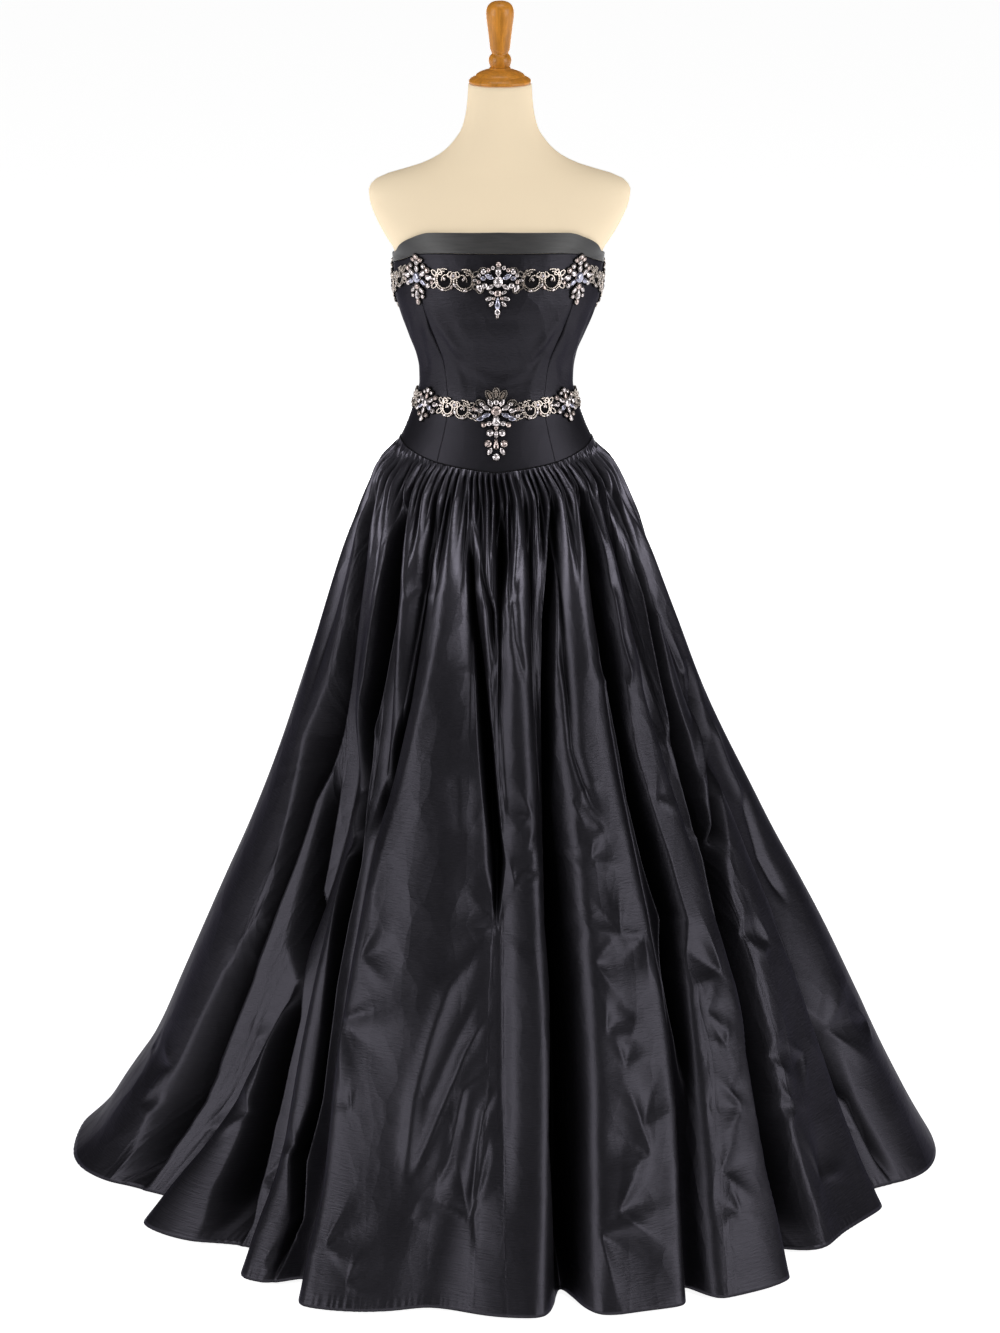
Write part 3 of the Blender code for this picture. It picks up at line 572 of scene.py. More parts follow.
# ---------------------------------------------------------------- the form and its stand
def build_form():
    """The padded torso: a fine closed skin on the form's own sections."""
    heights = np.linspace(FORM_BOTTOM + 0.002, NECK_TOP - 0.0015, FORM_ROWS)
    angles = np.arange(FORM_COLUMNS) * (360.0 / FORM_COLUMNS)
    rings = form_point(angles[None, :], heights[:, None])
    low = form_point(angles, FORM_BOTTOM) * np.array((0.985, 0.985, 1.0))
    high = form_point(angles, NECK_TOP) * np.array((0.965, 0.965, 1.0))
    rings = np.concatenate((low[None], rings, high[None]), axis=0)
    rows, columns = rings.shape[:2]
    verts = np.concatenate((rings.reshape(-1, 3), rings[:1].mean(axis=1), rings[-1:].mean(axis=1)))
    faces = tube_faces(rows, columns)
    foot = rows * columns
    last = (rows - 1) * columns
    for c in range(columns):
        d = (c + 1) % columns
        faces.append((foot, d, c))
        faces.append((foot + 1, last + c, last + d))
    torso = new_object("padded_form", verts, faces, [finish_of("form_jersey")])
    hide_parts("form_torso")
    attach(torso, "root")


def edit_all():
    """Opens the active object with all of it selected."""
    bpy.ops.object.mode_set(mode="EDIT")
    bpy.ops.mesh.select_all(action="SELECT")


def close_outward():
    """Points the faces of the open object outwards and closes it."""
    bpy.ops.mesh.select_all(action="SELECT")
    bpy.ops.mesh.normals_make_consistent(inside=False)
    bpy.ops.object.mode_set(mode="OBJECT")


def deselect():
    for thing in list(bpy.context.selected_objects):
        thing.select_set(False)


def drawn_up(sides, radius, base, steps):
    """A disc drawn up step by step by its top face: each step is a rise and the radius reached."""
    deselect()
    bpy.ops.mesh.primitive_circle_add(vertices=sides, radius=radius, fill_type="NGON", location=(0.0, 0.0, base))
    made = bpy.context.object
    edit_all()
    for rise, reached in steps:
        bpy.ops.mesh.extrude_region_move(TRANSFORM_OT_translate={"value": (0.0, 0.0, rise)})
        bpy.ops.transform.resize(value=(reached / radius, reached / radius, 1.0))
        radius = reached
    close_outward()
    return made


def turn_wood(name, profile, base_height, node):
    """A turned piece drawn up from a disc, then smoothed by its own edges."""
    steps = [((step[1] - before[1]) * MM, step[0] * MM) for before, step in zip(profile, profile[1:])]
    piece = drawn_up(WOOD_SIDES, profile[0][0] * MM, base_height + profile[0][1] * MM, steps)
    piece.name = name
    piece.data.name = name
    bpy.ops.object.transform_apply(location=True, rotation=True, scale=True)
    bpy.ops.object.shade_smooth_by_angle(angle=math.radians(WOOD_SMOOTH_ANGLE))
    piece.data.materials.append(finish_of("turned_wood"))
    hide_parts(node)
    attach(piece, "root")


def rounded(profile, steps):
    """More rows between the rows of a profile, along a smooth curve; a repeated row keeps a sharp edge."""
    result = []
    count = len(profile)
    for i in range(count - 1):
        p1 = np.array(profile[i])
        p2 = np.array(profile[i + 1])
        if np.allclose(p1, p2):
            continue
        p0 = np.array(profile[i - 1]) if i > 0 else p1
        p3 = np.array(profile[i + 2]) if i + 2 < count else p2
        for k in range(steps):
            t = k / steps
            point = 0.5 * (
                2.0 * p1 + (p2 - p0) * t + (2.0 * p0 - 5.0 * p1 + 4.0 * p2 - p3) * t * t
                + (3.0 * p1 - p0 - 3.0 * p2 + p3) * t ** 3
            )
            result.append((max(0.4, float(point[0])), float(point[1])))
    result.append((max(0.4, profile[-1][0]), profile[-1][1]))
    return result


# turned wood: radius and height above the piece's own base (mm)
CAP_TURNING = (
    (42, 4.4), (42, 4.4), (43.6, 5.2), (44.2, 6.8), (43.8, 8.6), (42, 10.6), (39, 12.6), (36.4, 13.8),
    (35, 14.5), (35, 14.5), (34.2, 16), (31.8, 18.2), (26.6, 20.9), (19.6, 23.2), (15.6, 24.2), (15.6, 24.2),
    (14.8, 25.6), (13.6, 26.6), (2, 26.6), (0.4, 26.6),
)
HANDLE_TURNING = (
    (13.6, 0), (13.6, 0), (14.6, 2.6), (15.9, 7.3), (15.9, 11.9), (14.4, 15.8), (12.4, 17.9), (11.9, 19.4),
    (12.2, 20.9), (12.2, 20.9), (12.9, 22.6), (14, 25.6), (14.6, 30.9), (15.4, 38), (16.6, 47.7), (17.9, 57.4),
    (19.2, 67.2), (19.7, 72.5), (19.8, 76), (19.2, 81.1), (17.2, 86), (13.4, 90), (8, 92.4), (2, 93.2),
    (0.4, 93.2),
)


# ---------------------------------------------------------------- bodice, band and basque
# soft drag wrinkles: angle, height, direction (degrees up from level), length, width, height (mm)
BODICE_WRINKLES = (
    (36, 1.262, 62, 70, 9, 1.6), (33, 1.235, 70, 60, 7, -1.2), (31, 1.205, 76, 66, 7, 1.1),
    (27, 1.232, 66, 60, 8, 1), (49, 1.235, 115, 60, 8, 1.3), (54, 1.215, 108, 62, 8, -1.1),
    (60, 1.245, 118, 66, 9, 1.2), (68, 1.22, 104, 60, 9, 1), (76, 1.25, 100, 70, 10, -0.9),
    (-34, 1.258, 116, 74, 9, 1.5), (-31, 1.228, 108, 60, 7, -1.1), (-26, 1.24, 120, 58, 8, 1),
    (-29, 1.2, 102, 60, 7, 0.9), (-51, 1.24, 66, 60, 8, 1.3), (-58, 1.222, 72, 62, 8, -1.1),
    (-66, 1.25, 62, 66, 9, 1.1), (-78, 1.23, 80, 60, 10, 0.9), (12, 1.19, 20, 60, 8, 0.7),
    (-14, 1.198, 160, 56, 8, 0.7), (4, 1.172, 6, 70, 7, 0.6), (100, 1.23, 78, 70, 10, 1),
    (118, 1.215, 66, 62, 9, -0.9), (134, 1.24, 96, 66, 9, 1), (152, 1.22, 110, 60, 9, 0.9),
    (166, 1.205, 84, 60, 8, -0.8), (-104, 1.232, 100, 70, 10, 1), (-121, 1.212, 112, 62, 9, -0.9),
    (-137, 1.238, 84, 66, 9, 1), (-155, 1.222, 70, 60, 9, 0.9), (-168, 1.2, 94, 60, 8, -0.8),
)


def wrinkle_lift(rows, angle, height):
    """Long soft ridges and troughs on the fitted cloth."""
    total = np.zeros(np.broadcast(angle, height).shape)
    for centre, level, direction, length, width, rise in rows:
        turn = math.radians(direction)
        right = turn_from(centre, angle) / degrees_for(MM, centre, level)
        up = (height - level) * 1000.0
        along = right * math.cos(turn) + up * math.sin(turn)
        across = -right * math.sin(turn) + up * math.cos(turn)
        total += WRINKLE_GAIN * rise * np.exp(-(across / width) ** 2 - (along / (0.55 * length)) ** 4)
    return total * MM


def drawn_tight(angle, height):
    """The front cloth is pulled straight over the hollow under the bust."""
    round_front = 1.0 - smooth((np.abs(angle) - 20.0) / 50.0)
    return 0.0042 * np.exp(-((height - 1.243) / 0.030) ** 2) * round_front


def fitted_places(start, end, top, bottom, across, down):
    """Angles and heights of a grid between two downward seams and two edges round the body."""
    across = across[None, :]
    down = down[:, None]
    height = np.full((down.shape[0], across.shape[1]), 0.5 * (float(top(0.0)) + float(bottom(0.0))))
    angle = height
    for _ in range(8):
        left = start(height)
        angle = left + (end(height) - left) * across
        folded = away_from_front(angle)
        high = top(folded) - SEAM_GAP * 0.5
        low = bottom(folded) + SEAM_GAP * 0.5
        height = high + (low - high) * down
    return angle, height


def edge_steps(count, turn=0.007):
    """Shares from 0 to 1 with close rows at both ends, where the cloth turns in."""
    middle = np.linspace(turn, 1.0 - turn, count)
    return np.concatenate(((0.0, 0.0, turn * 0.35), middle, (1.0 - turn * 0.35, 1.0, 1.0)))


def turned_edges(count, deep=0.0013, shallow=0.0004):
    """How far each row of edge_steps drops below the cloth's face."""
    drop = np.zeros(count + 6)
    drop[[0, -1]] = deep
    drop[[1, -2]] = shallow
    drop[[2, -3]] = shallow * 0.25
    return drop


def fitted_piece(name, seams, edges, cells, surface, extra=0.0, soft=1.0):
    """One cut piece of the bodice, lying on the form between its seams."""
    columns, rows = cells
    across = edge_steps(columns)
    down = edge_steps(rows, 0.02)
    angle, height = fitted_places(seams[0], seams[1], edges[0], edges[1], across, down)
    side_drop = turned_edges(columns)[None, :]
    edge_drop = turned_edges(rows)[:, None]
    drop = np.maximum(side_drop, edge_drop)
    near = np.minimum(np.minimum(across, 1.0 - across)[None, :], np.minimum(down, 1.0 - down)[:, None]) * 60.0
    lift = CLOTH_GAP + CLOTH_WALL + extra - drop
    lift = lift + (wrinkle_lift(BODICE_WRINKLES, angle, height) + drawn_tight(angle, height)) * soft * smooth(near)
    points = on_form(angle, height, lift)
    around = arc(points, 1)
    fall = arc(points, 0)
    made = cloth(name, points, around + float(angle[0, 0]) * 0.003, fall, finish_of(surface))
    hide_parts(name[:-6])
    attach(made, "root")


def minus(seam):
    """The same seam on the other side of the body."""
    return lambda height: -seam(height)


def beside_zip(height):
    """Angle of the cloth's edge beside the zip."""
    return 180.0 - degrees_for(ZIP_HALF + SEAM_GAP, 180.0, height)


def build_pair(name, seams, edges, cells, surface, extra=0.0, soft=1.0):
    """The same piece on the wearer's left and right."""
    for side, lines in (("left", seams), ("right", (minus(seams[1]), minus(seams[0])))):
        fitted_piece(f"{name}_{side}_cloth", lines, edges, cells, surface, extra, soft)


def build_bodice():
    """Seven cut pieces between the band and the waist."""
    edges = (band_seam, waist_seam)
    fitted_piece("bodice_front_cloth", (minus(princess_seam), princess_seam), edges, (90, 100), "bodice_taffeta")
    build_pair("bodice_side_front", (princess_seam, side_seam), edges, (50, 90), "bodice_taffeta")
    build_pair("bodice_side_back", (side_seam, back_seam), edges, (40, 80), "bodice_taffeta")
    build_pair("bodice_back", (back_seam, beside_zip), edges, (36, 80), "bodice_taffeta")


def build_basque():
    """Five smooth pieces below the waist."""
    edges = (waist_seam, basque_seam)
    front = (minus(princess_seam), princess_seam)
    fitted_piece("basque_front_cloth", front, edges, (80, 36), "basque_taffeta", soft=0.0)
    build_pair("basque_side", (princess_seam, side_seam), edges, (60, 34), "basque_taffeta", soft=0.0)
    build_pair("basque_back", (side_seam, beside_zip), edges, (80, 34), "basque_taffeta", soft=0.0)


def build_band():
    """Three pieces of the ribbed band along the top edge."""
    edges = (top_edge, band_seam)
    front = (minus(side_seam), side_seam)
    fitted_piece("band_front_cloth", front, edges, (150, 22), "band_satin", BAND_RAISE, soft=0.0)
    build_pair("band_back", (side_seam, beside_zip), edges, (90, 20), "band_satin", BAND_RAISE, soft=0.0)


def cord_ring(first, second):
    """Directions round a cord at each of its points, from one side direction to the other."""
    turns = np.arange(CORD_SIDES) * math.tau / CORD_SIDES
    return first[:, None, :] * np.cos(turns)[None, :, None] + second[:, None, :] * np.sin(turns)[None, :, None]


def piping(name, edge, lift, thickness):
    """A thin corded line that runs round the body at a seam, from one side of the zip to the other."""
    start = float(beside_zip(1.2))
    angle = np.linspace(-start, start, 260)
    height = edge(away_from_front(angle))
    centre = on_form(angle, height, np.full_like(angle, lift))
    out = form_normal(angle, height)
    along = unit(np.gradient(centre, axis=0))
    side = np.cross(along, out)
    points = centre[:, None, :] + cord_ring(out, side) * thickness
    count = len(angle)
    faces = tube_faces(count, CORD_SIDES)
    faces.append(tuple(range(CORD_SIDES - 1, -1, -1)))
    faces.append(tuple((count - 1) * CORD_SIDES + c for c in range(CORD_SIDES)))
    # the cord takes the near-black backing finish, so besides a real corded edge it paints the shadow line along the
    # seam
    made = new_object(name, points.reshape(-1, 3), faces, [finish_of("trim_backing")])
    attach(made, "root")


# ---------------------------------------------------------------- the skirt
# deep inner folds, darkened by painted shade: name, depth (mm), then height and the two edges of each level (degrees)
VALLEYS = (
    ("left_outer", 70, (
        (1.003, -78, -72.8), (0.92, -71.4, -65), (0.835, -68.7, -63.3), (0.75, -69.2, -62.2),
        (0.659, -73.6, -64.7), (0.574, -71.6, -67.8), (0.489, -70, -67.9), (0.404, -69.4, -68.3),
        (0.314, -72.4, -68.7), (0.222, -74, -69.9), (0.135, -75.2, -70.3), (0.047, -74.4, -70.8),
    )),
    ("left_middle", 62, (
        (0.602, -63.5, -62.3), (0.538, -63.5, -61.4), (0.453, -62.9, -60), (0.375, -61.2, -53),
        (0.297, -54.5, -49.6), (0.227, -52.6, -48.9), (0.15, -51.2, -47.7), (0.072, -49.7, -44.8),
        (0.036, -48.1, -43.3),
    )),
    ("left_inner", 60, (
        (0.992, -45.9, -39.9), (0.935, -45.4, -42.4), (0.853, -45.2, -40.5), (0.773, -44.3, -40.2),
        (0.689, -46, -40.4), (0.601, -51.8, -38.8), (0.531, -41.9, -37.4), (0.456, -39.3, -37.2),
        (0.379, -37.4, -36.4), (0.301, -35.8, -35.1), (0.228, -34.7, -33.9), (0.151, -35.4, -33.6),
        (0.079, -31.6, -31),
    )),
    ("left_thin", 22, (
        (0.996, -27.3, -25), (0.903, -27.8, -26.2), (0.756, -28.2, -26.8), (0.619, -34, -30.4),
        (0.576, -35.4, -32.6),
    )),
    ("centre_left", 34, (
        (0.968, -12.9, -11.4), (0.868, -9.8, -8.1), (0.791, -7.1, -4.8), (0.709, -5.6, -2.2),
        (0.633, -3.9, -0.8), (0.556, -1.7, 0.8), (0.479, -1.3, -0.4),
    )),
    ("centre_short", 26, (
        (1.024, 0, 1.9), (0.948, -0.8, 2.7), (0.885, -0.7, 0.7),
    )),
    ("centre_vee", 22, (
        (0.935, -7.1, -5.5), (0.881, -3.8, -2.1), (0.817, -2.2, -1.2),
    )),
    ("centre_right", 66, (
        (1.016, 21.7, 24.1), (0.947, 18.9, 21.9), (0.865, 15.6, 18.4), (0.783, 13.9, 15.9), (0.704, 12.9, 14.7),
        (0.625, 11.6, 12.8), (0.55, 10.3, 12.8), (0.476, 9.3, 12.9), (0.399, 9.4, 12.1), (0.327, 8.6, 11.8),
        (0.216, 7.5, 10.8), (0.071, 7.6, 10.4), (0.024, 7.4, 10.2),
    )),
    ("right_inner", 52, (
        (1.011, 39.8, 41.8), (0.938, 37.6, 40.8), (0.858, 36.7, 38.6), (0.778, 35.7, 38), (0.699, 34.8, 36.2),
        (0.619, 33.9, 36.3), (0.542, 33.9, 37.1), (0.465, 34.2, 37.2), (0.387, 32.3, 33.7), (0.312, 31.6, 32.4),
        (0.24, 30.5, 30.9),
    )),
    ("right_deep", 62, (
        (1, 64.8, 69.8), (0.924, 61.8, 68.4), (0.843, 60.1, 63.2), (0.757, 58.4, 60.6), (0.677, 57, 60.3),
        (0.594, 55.7, 57.2), (0.512, 55.2, 57.3), (0.431, 53.6, 54.6), (0.36, 45.9, 53), (0.286, 42.5, 51.6),
        (0.209, 41, 49.5), (0.136, 39.9, 48.7), (0.058, 39.7, 48.4),
    )),
    ("right_short", 26, (
        (0.971, 52.8, 55.4), (0.888, 47.8, 55.3),
    )),
    ("right_twin", 34, (
        (0.735, 80.9, 82.6), (0.657, 69.2, 77.7), (0.591, 60.4, 64.1), (0.51, 56.7, 58.4),
    )),
    ("right_side", 34, (
        (0.394, 66.9, 68.6), (0.321, 67.8, 68.6), (0.224, 67.8, 75.3), (0.128, 74.7, 75.2), (0.041, 74.4, 75.2),
    )),
)
# creases: half width and depth (mm, minus for a ridge), then the angle and height of each point
CREASES = (
    (4, -5, (-44.7, 0.849), (-40.6, 0.725), (-38.2, 0.679)),
    (4, -5, (-40.2, 0.656), (-38.5, 0.579)),
    (5, 16, (-9, 0.918), (-4.4, 0.764), (-2.5, 0.633), (-1.7, 0.547), (0, 0.475)),
    (3, -5, (0, 0.862), (-0.9, 0.763), (0, 0.682), (1.5, 0.601)),
    (14, -5, (-10.6, 0.683), (-9.2, 0.602), (-7.4, 0.579)),
    (13, -4, (-17.1, 0.924), (-20.3, 0.811), (-23.5, 0.717), (-27.3, 0.613), (-28.1, 0.554), (-27.6, 0.473),
        (-28.2, 0.414)),
    (12, -7, (-2.7, 0.457), (-9.8, 0.403), (-12.5, 0.336), (-14.2, 0.264), (-14.5, 0.142)),
    (9, -3, (-3.2, 0.403), (-8.4, 0.326), (-11.8, 0.263), (-12.8, 0.223)),
    (7, 6, (-2, 0.371), (-6.6, 0.313), (-10.3, 0.241), (-14.1, 0.155)),
    (8, -6, (-0.5, 0.308), (-6.4, 0.272), (-7.1, 0.241), (-8.3, 0.182), (-10.6, 0.141)),
    (6, -6, (-0.5, 0.276), (-2.8, 0.245), (-3.7, 0.2), (-4.6, 0.119)),
    (6, 3, (-1.6, 0.222), (-3.9, 0.119), (-3.2, 0.065)),
    (5, 5, (4, 0.926), (4.8, 0.845), (8, 0.782)),
    (6, 9, (20, 0.861), (20.2, 0.762), (19.3, 0.698), (20.5, 0.658), (23.1, 0.599)),
    (5, -7, (41.7, 0.916), (40.1, 0.834), (40.5, 0.77)),
    (6, -8, (60.7, 0.927), (59, 0.817), (56.6, 0.711), (55.5, 0.669)),
    (6, 7, (55.1, 0.861), (46.5, 0.763), (46.7, 0.694)),
    (5, -6, (78, 0.822), (78, 0.753), (68.7, 0.695), (60.2, 0.62), (57.2, 0.555)),
    (5, 8, (81.6, 0.725), (67, 0.654), (59.7, 0.574)),
    (8, -5, (83.1, 0.679), (81.3, 0.61), (81.4, 0.541)),
    (8, 9, (83.5, 0.583), (79.2, 0.476), (79.6, 0.402)),
)
# a pinch round its tip: turn from the way it opens (radians), height there (shares)
PINCH_TURNS = (0.0, 0.42, 0.80, 1.15, 1.9, 2.7, math.pi)
PINCH_HEIGHTS = (-1.0, -0.42, 0.62, 0.08, 0.0, 0.05, 0.2)
# the wearer's right tip of the hem, which hangs closer (degrees)
HEM_TIP = -97.0
# sharp pinches in the crisp cloth: angle, height, direction it opens (degrees), size (mm)
PINCHES = (
    (-75.9, 0.614, 10, 66), (-28.4, 0.428, 20, 74), (-30.1, 0.346, -25, 118), (-24.6, 0.242, 150, 44),
    (-23.7, 0.078, 30, 88), (-4.7, 0.114, 110, 132), (-0.2, 0.47, 135, 103), (-77.3, 0.172, 200, 59),
    (-79.6, 0.112, 25, 81), (-87.6, 0.167, 30, 37), (-69.4, 0.346, 190, 44), (-65, 0.24, 20, 44),
    (-51.7, 0.166, 170, 74), (-67.7, 0.102, 20, 74), (-45, 0.088, 15, 59), (-35.3, 0.169, 175, 44),
    (-33.4, 0.029, 20, 59), (-29.8, 0.056, 190, 44), (-19.5, 0.038, 30, 59), (-13.2, 0.114, 20, 37),
    (22.8, 0.463, 125, 88), (27.8, 0.455, 215, 74), (16.9, 0.431, -10, 74), (17.4, 0.341, 35, 66),
    (23.3, 0.359, 190, 44), (19.9, 0.3, 60, 51), (42.1, 0.388, 140, 118), (36.2, 0.347, 0, 59),
    (38.4, 0.301, 110, 44), (38.1, 0.224, 170, 74), (36.4, 0.247, -5, 44), (31.8, 0.151, 5, 74),
    (33.4, 0.101, 150, 59), (15.9, 0.124, 10, 118), (13.2, 0.101, -35, 132), (21.8, 0.187, 150, 88),
    (21.2, 0.223, 60, 88), (51.6, 0.248, 0, 66), (61.5, 0.231, 190, 59), (53.9, 0.18, 170, 66),
    (54.6, 0.408, 10, 66), (62.1, 0.391, 150, 59), (75.7, 0.227, -5, 103), (86.6, 0.214, 180, 51),
    (73.7, 0.089, 140, 59), (54.2, 0.079, 45, 88), (7.7, 0.615, 160, 59), (5.9, 0.574, 20, 51),
    (9.9, 0.552, 200, 44), (3.2, 0.529, 60, 59), (16.9, 0.634, -20, 59), (24, 0.595, 170, 59),
    (19.3, 0.558, 30, 59), (13.9, 0.566, 0, 44), (54.6, 0.669, 120, 74), (38.6, 0.62, 20, 59),
    (56.5, 0.541, 130, 66), (72.8, 0.83, 110, 74), (39.8, 0.77, 120, 74), (-0.7, 0.88, 90, 74),
    (-33.1, 0.891, 60, 59), (-3.1, 0.79, 120, 88),
)
# the same sort of inner folds on the sides and back
HIDDEN_VALLEYS = (
    ("back_a", 60, (
        (1, 84, 86.5), (0.8, 92, 95), (0.56, 103, 106.5), (0.3, 105.5, 109.5), (0.05, 105.5, 110.5),
    )),
    ("back_b", 54, (
        (1.01, 108, 110.6), (0.76, 116, 119), (0.5, 122.5, 125.4), (0.24, 124.5, 128),
    )),
    ("back_c", 66, (
        (0.99, 128, 131.5), (0.76, 137, 140.4), (0.5, 142, 145.6), (0.05, 144.4, 149.6),
    )),
    ("back_d", 44, (
        (1, 150.6, 152.6), (0.74, 157.5, 160), (0.42, 161.5, 164), (0.16, 163.8, 167),
    )),
    ("back_e", 66, (
        (1.005, 174, 177.2), (0.76, 177, 180.4), (0.48, 178.6, 182.6), (0.05, 184, 189.6),
    )),
    ("back_f", 48, (
        (1, 198.6, 201.2), (0.72, 201, 204), (0.4, 204, 207), (0.12, 206.4, 210.4),
    )),
    ("back_g", 60, (
        (0.99, 221, 224), (0.74, 222.6, 226.2), (0.46, 224.4, 228.2), (0.05, 226.6, 231.6),
    )),
    ("back_h", 50, (
        (1.005, 244.4, 247), (0.76, 245.8, 249), (0.44, 247, 250.6), (0.05, 247.8, 252.4),
    )),
    ("back_i", 26, (
        (0.96, 98, 99.6), (0.82, 104, 106), (0.7, 109, 110.6),
    )),
    ("back_j", 28, (
        (0.98, 163, 165), (0.86, 166.5, 168.6), (0.7, 169, 170.6),
    )),
    ("back_k", 26, (
        (0.98, 211, 213), (0.83, 213, 215.2), (0.68, 214, 215.4),
    )),
    ("back_l", 30, (
        (0.98, 258, 260.4), (0.84, 258.6, 261.4), (0.66, 260, 262),
    )),
)


def hidden_pinches():
    """Pinches of the same sort on the sides and back."""
    chance = np.random.RandomState(21)
    rows = []
    for i in range(HIDDEN_PINCH_COUNT):
        angle = 100.0 + 160.0 * (i + chance.uniform(0.1, 0.9)) / HIDDEN_PINCH_COUNT
        height = 0.07 + 0.72 * chance.uniform() ** 1.3
        direction = chance.choice((0.0, 20.0, 60.0, 110.0, 150.0, 180.0, 200.0)) + chance.uniform(-14.0, 14.0)
        rows.append((angle, height, direction, chance.uniform(40.0, 96.0)))
    return tuple(rows)


HIDDEN_PINCHES = hidden_pinches()


def fold_rows(index):
    """A fold's angles, moved on by whole turns past the end of the table."""
    turns, place = divmod(index, len(FOLDS))
    row = list(FOLDS[place])
    for column in (0, 1, 2):
        row[column] += 360.0 * turns
    return row


def fold_angle(row, height):
    """Angle of a valley at a height: a curve through its seam, middle and hem angles."""
    t = np.clip(height / SKIRT_TOP, 0.0, 1.0)
    middle = FOLD_MIDDLE / SKIRT_TOP
    low = row[2] + (row[1] - row[2]) * np.sin(0.5 * math.pi * np.minimum(t, middle) / middle) ** 1.2
    part = np.clip((t - middle) / (1.0 - middle), 0.0, 1.0)
    high = row[1] + (row[0] - row[1]) * (1.0 - np.cos(0.5 * math.pi * part))
    return np.where(t < middle, low, high)


def fold_strength(row, height, seam):
    """How much of its depth at the hem a valley has at a height, 0 to 1."""
    down = np.clip((seam - height) / seam, 0.0, 1.0)
    strength = down ** 0.82
    if row[9] < 1.0:
        strength = strength * smooth((row[9] - height) / 0.16)
    if row[8] > 0.0:
        strength = strength * smooth((height - row[8]) / 0.16)
    return strength


def lobe_stand_out(angle, height):
    """How far the lobes between the valleys stand out from the plain skirt."""
    share = smooth(1.0 - height / 0.62)
    rise = smooth((1.05 - height) / 0.5)
    total = np.zeros_like(angle)
    centres = []
    for index in range(-2, len(FOLDS) + 2):
        here = fold_rows(index)
        there = fold_rows(index + 1)
        middle = 0.5 * (fold_angle(here, height) + fold_angle(there, height))
        centres.append((middle, (here[6] * (1.0 - share) * rise + here[7] * share) * MM))
    for (a, low), (b, high) in zip(centres, centres[1:]):
        inside = (angle >= a) & (angle < b)
        total = np.where(inside, low + (high - low) * smooth((angle - a) / (b - a)), total)
    return total


def valley_depth(angle, height, seam):
    """How far the main valleys draw the cloth in."""
    total = np.zeros_like(angle)
    spread = 1.0 + 1.1 * smooth(height / SKIRT_TOP)
    for row in FOLDS:
        away = turn_from(fold_angle(row, height), angle)
        width = np.where(away < 0.0, row[4], row[5]) * spread
        t = np.abs(away) / width
        total += row[3] * MM * fold_strength(row, height, seam) * np.exp(-1.35 * np.minimum(t, 4.0) ** 1.9)
    return total


def skirt_seam(angle):
    """Height of the skirt's upper edge."""
    return basque_seam(away_from_front(angle)) - SEAM_GAP * 1.5


def skirt_surface(angle, height, seam, move):
    """Points of the skirt, moved out by a further amount."""
    a = np.radians(angle)
    kept = np.maximum(height, 0.95)
    near = on_form(angle, kept, np.full_like(angle, SKIRT_STAND_OFF))
    near[..., 2] += height - kept
    side = np.where(np.sin(a) > 0.0, skirt_left(height), skirt_right(height))
    depth = np.where(np.cos(a) > 0.0, skirt_front(height), skirt_back(height))
    far = np.stack((side * np.sin(a), -depth * np.cos(a), height), axis=-1)
    share = smooth((seam - height) / 0.035)[..., None]
    point = near * (1.0 - share) + far * share
    folded = (angle + 90.0) % 360.0 - 90.0
    move = move + lobe_stand_out(folded, height) - valley_depth(angle, height, seam)
    return point + outward_of(point) * move[..., None]


def skirt_columns():
    """Each column of the cloth: the fold it belongs to and its share of the way to the next."""
    folds = []
    shares = []
    for index, count in enumerate(FOLD_COLUMNS):
        t = np.arange(count) / count
        folds.append(np.full(count, index))
        shares.append(0.45 * t + 0.55 * (0.5 - 0.5 * np.cos(math.pi * t)))
    return np.concatenate(folds), np.concatenate(shares)


def skirt_places(share):
    """Angle, height and seam height of every point of the cloth."""
    folds, across = skirt_columns()
    angle = np.zeros((len(share), len(folds)))
    for index in range(len(FOLDS)):
        here = fold_rows(index)
        there = fold_rows(index + 1)
        mine = folds == index
        seam = skirt_seam(0.5 * (here[0] + here[2]))
        height = (seam * (1.0 - share) + HEM_HEIGHT * share)[:, None]
        start = fold_angle(here, height)
        end = fold_angle(there, height)
        angle[:, mine] = start + (end - start) * across[mine][None, :]
    seam = skirt_seam(angle)
    height = seam + (HEM_HEIGHT - seam) * share[:, None]
    return angle, height, seam


def rounded_ridge(place):
    """A row of round ridges with sharp valleys at whole numbers, from -1 to 1."""
    return 2.0 * np.abs(np.sin(math.pi * place)) ** 0.75 - 1.0


def gathers(angle, below):
    """Small gathers drawn up at the seam, each fading at its own length and running into its
    neighbours, and how far each point lies in a gap between two of them (0 to 1), which sets
    the painted shade in the gaps."""
    place = angle[:1] / (360.0 / GATHERS_ROUND)
    place = place + 0.42 * waves(place * 0.53, 3) + 0.25 * waves(place * 0.19, 4)
    length = 0.075 + 0.045 * waves(place * 0.7, 5)
    half = 0.5 * place + 0.2 + 0.12 * waves(place * 0.31, 7)
    quarter = 0.25 * place + 0.1 + 0.2 * waves(place * 0.17, 9)
    strong = np.clip(0.8 + 0.45 * waves(place, 6), 0.25, 1.2)
    first = strong * smooth(below / 0.012) * (1.0 - smooth((below - 0.022) / length))
    second = smooth(below / 0.05) * (1.0 - smooth((below - 0.06) / (length * 1.3)))
    third = smooth((below - 0.02) / 0.10) * (1.0 - smooth((below - 0.16) / 0.26))
    start = 1.0 - smooth((below - 0.01) / length)
    move = rounded_ridge(place) * (0.0020 * start + 0.0080 * first)
    move += rounded_ridge(half) * (0.8 + 0.2 * waves(place * 0.4, 8)) * 0.0108 * second
    move += rounded_ridge(quarter) * 0.0100 * third
    # how far each point lies in a gap, kept for the painted shade between the gathers
    gap = narrow_gap(place, 0.27) * np.minimum(0.25 + first * 1.3, 1.0) * (1.0 - smooth((below - 0.04) / length))
    gap = np.maximum(gap, narrow_gap(half, 0.16) * second)
    gap = np.maximum(gap, narrow_gap(quarter, 0.10) * third)
    return move, gap


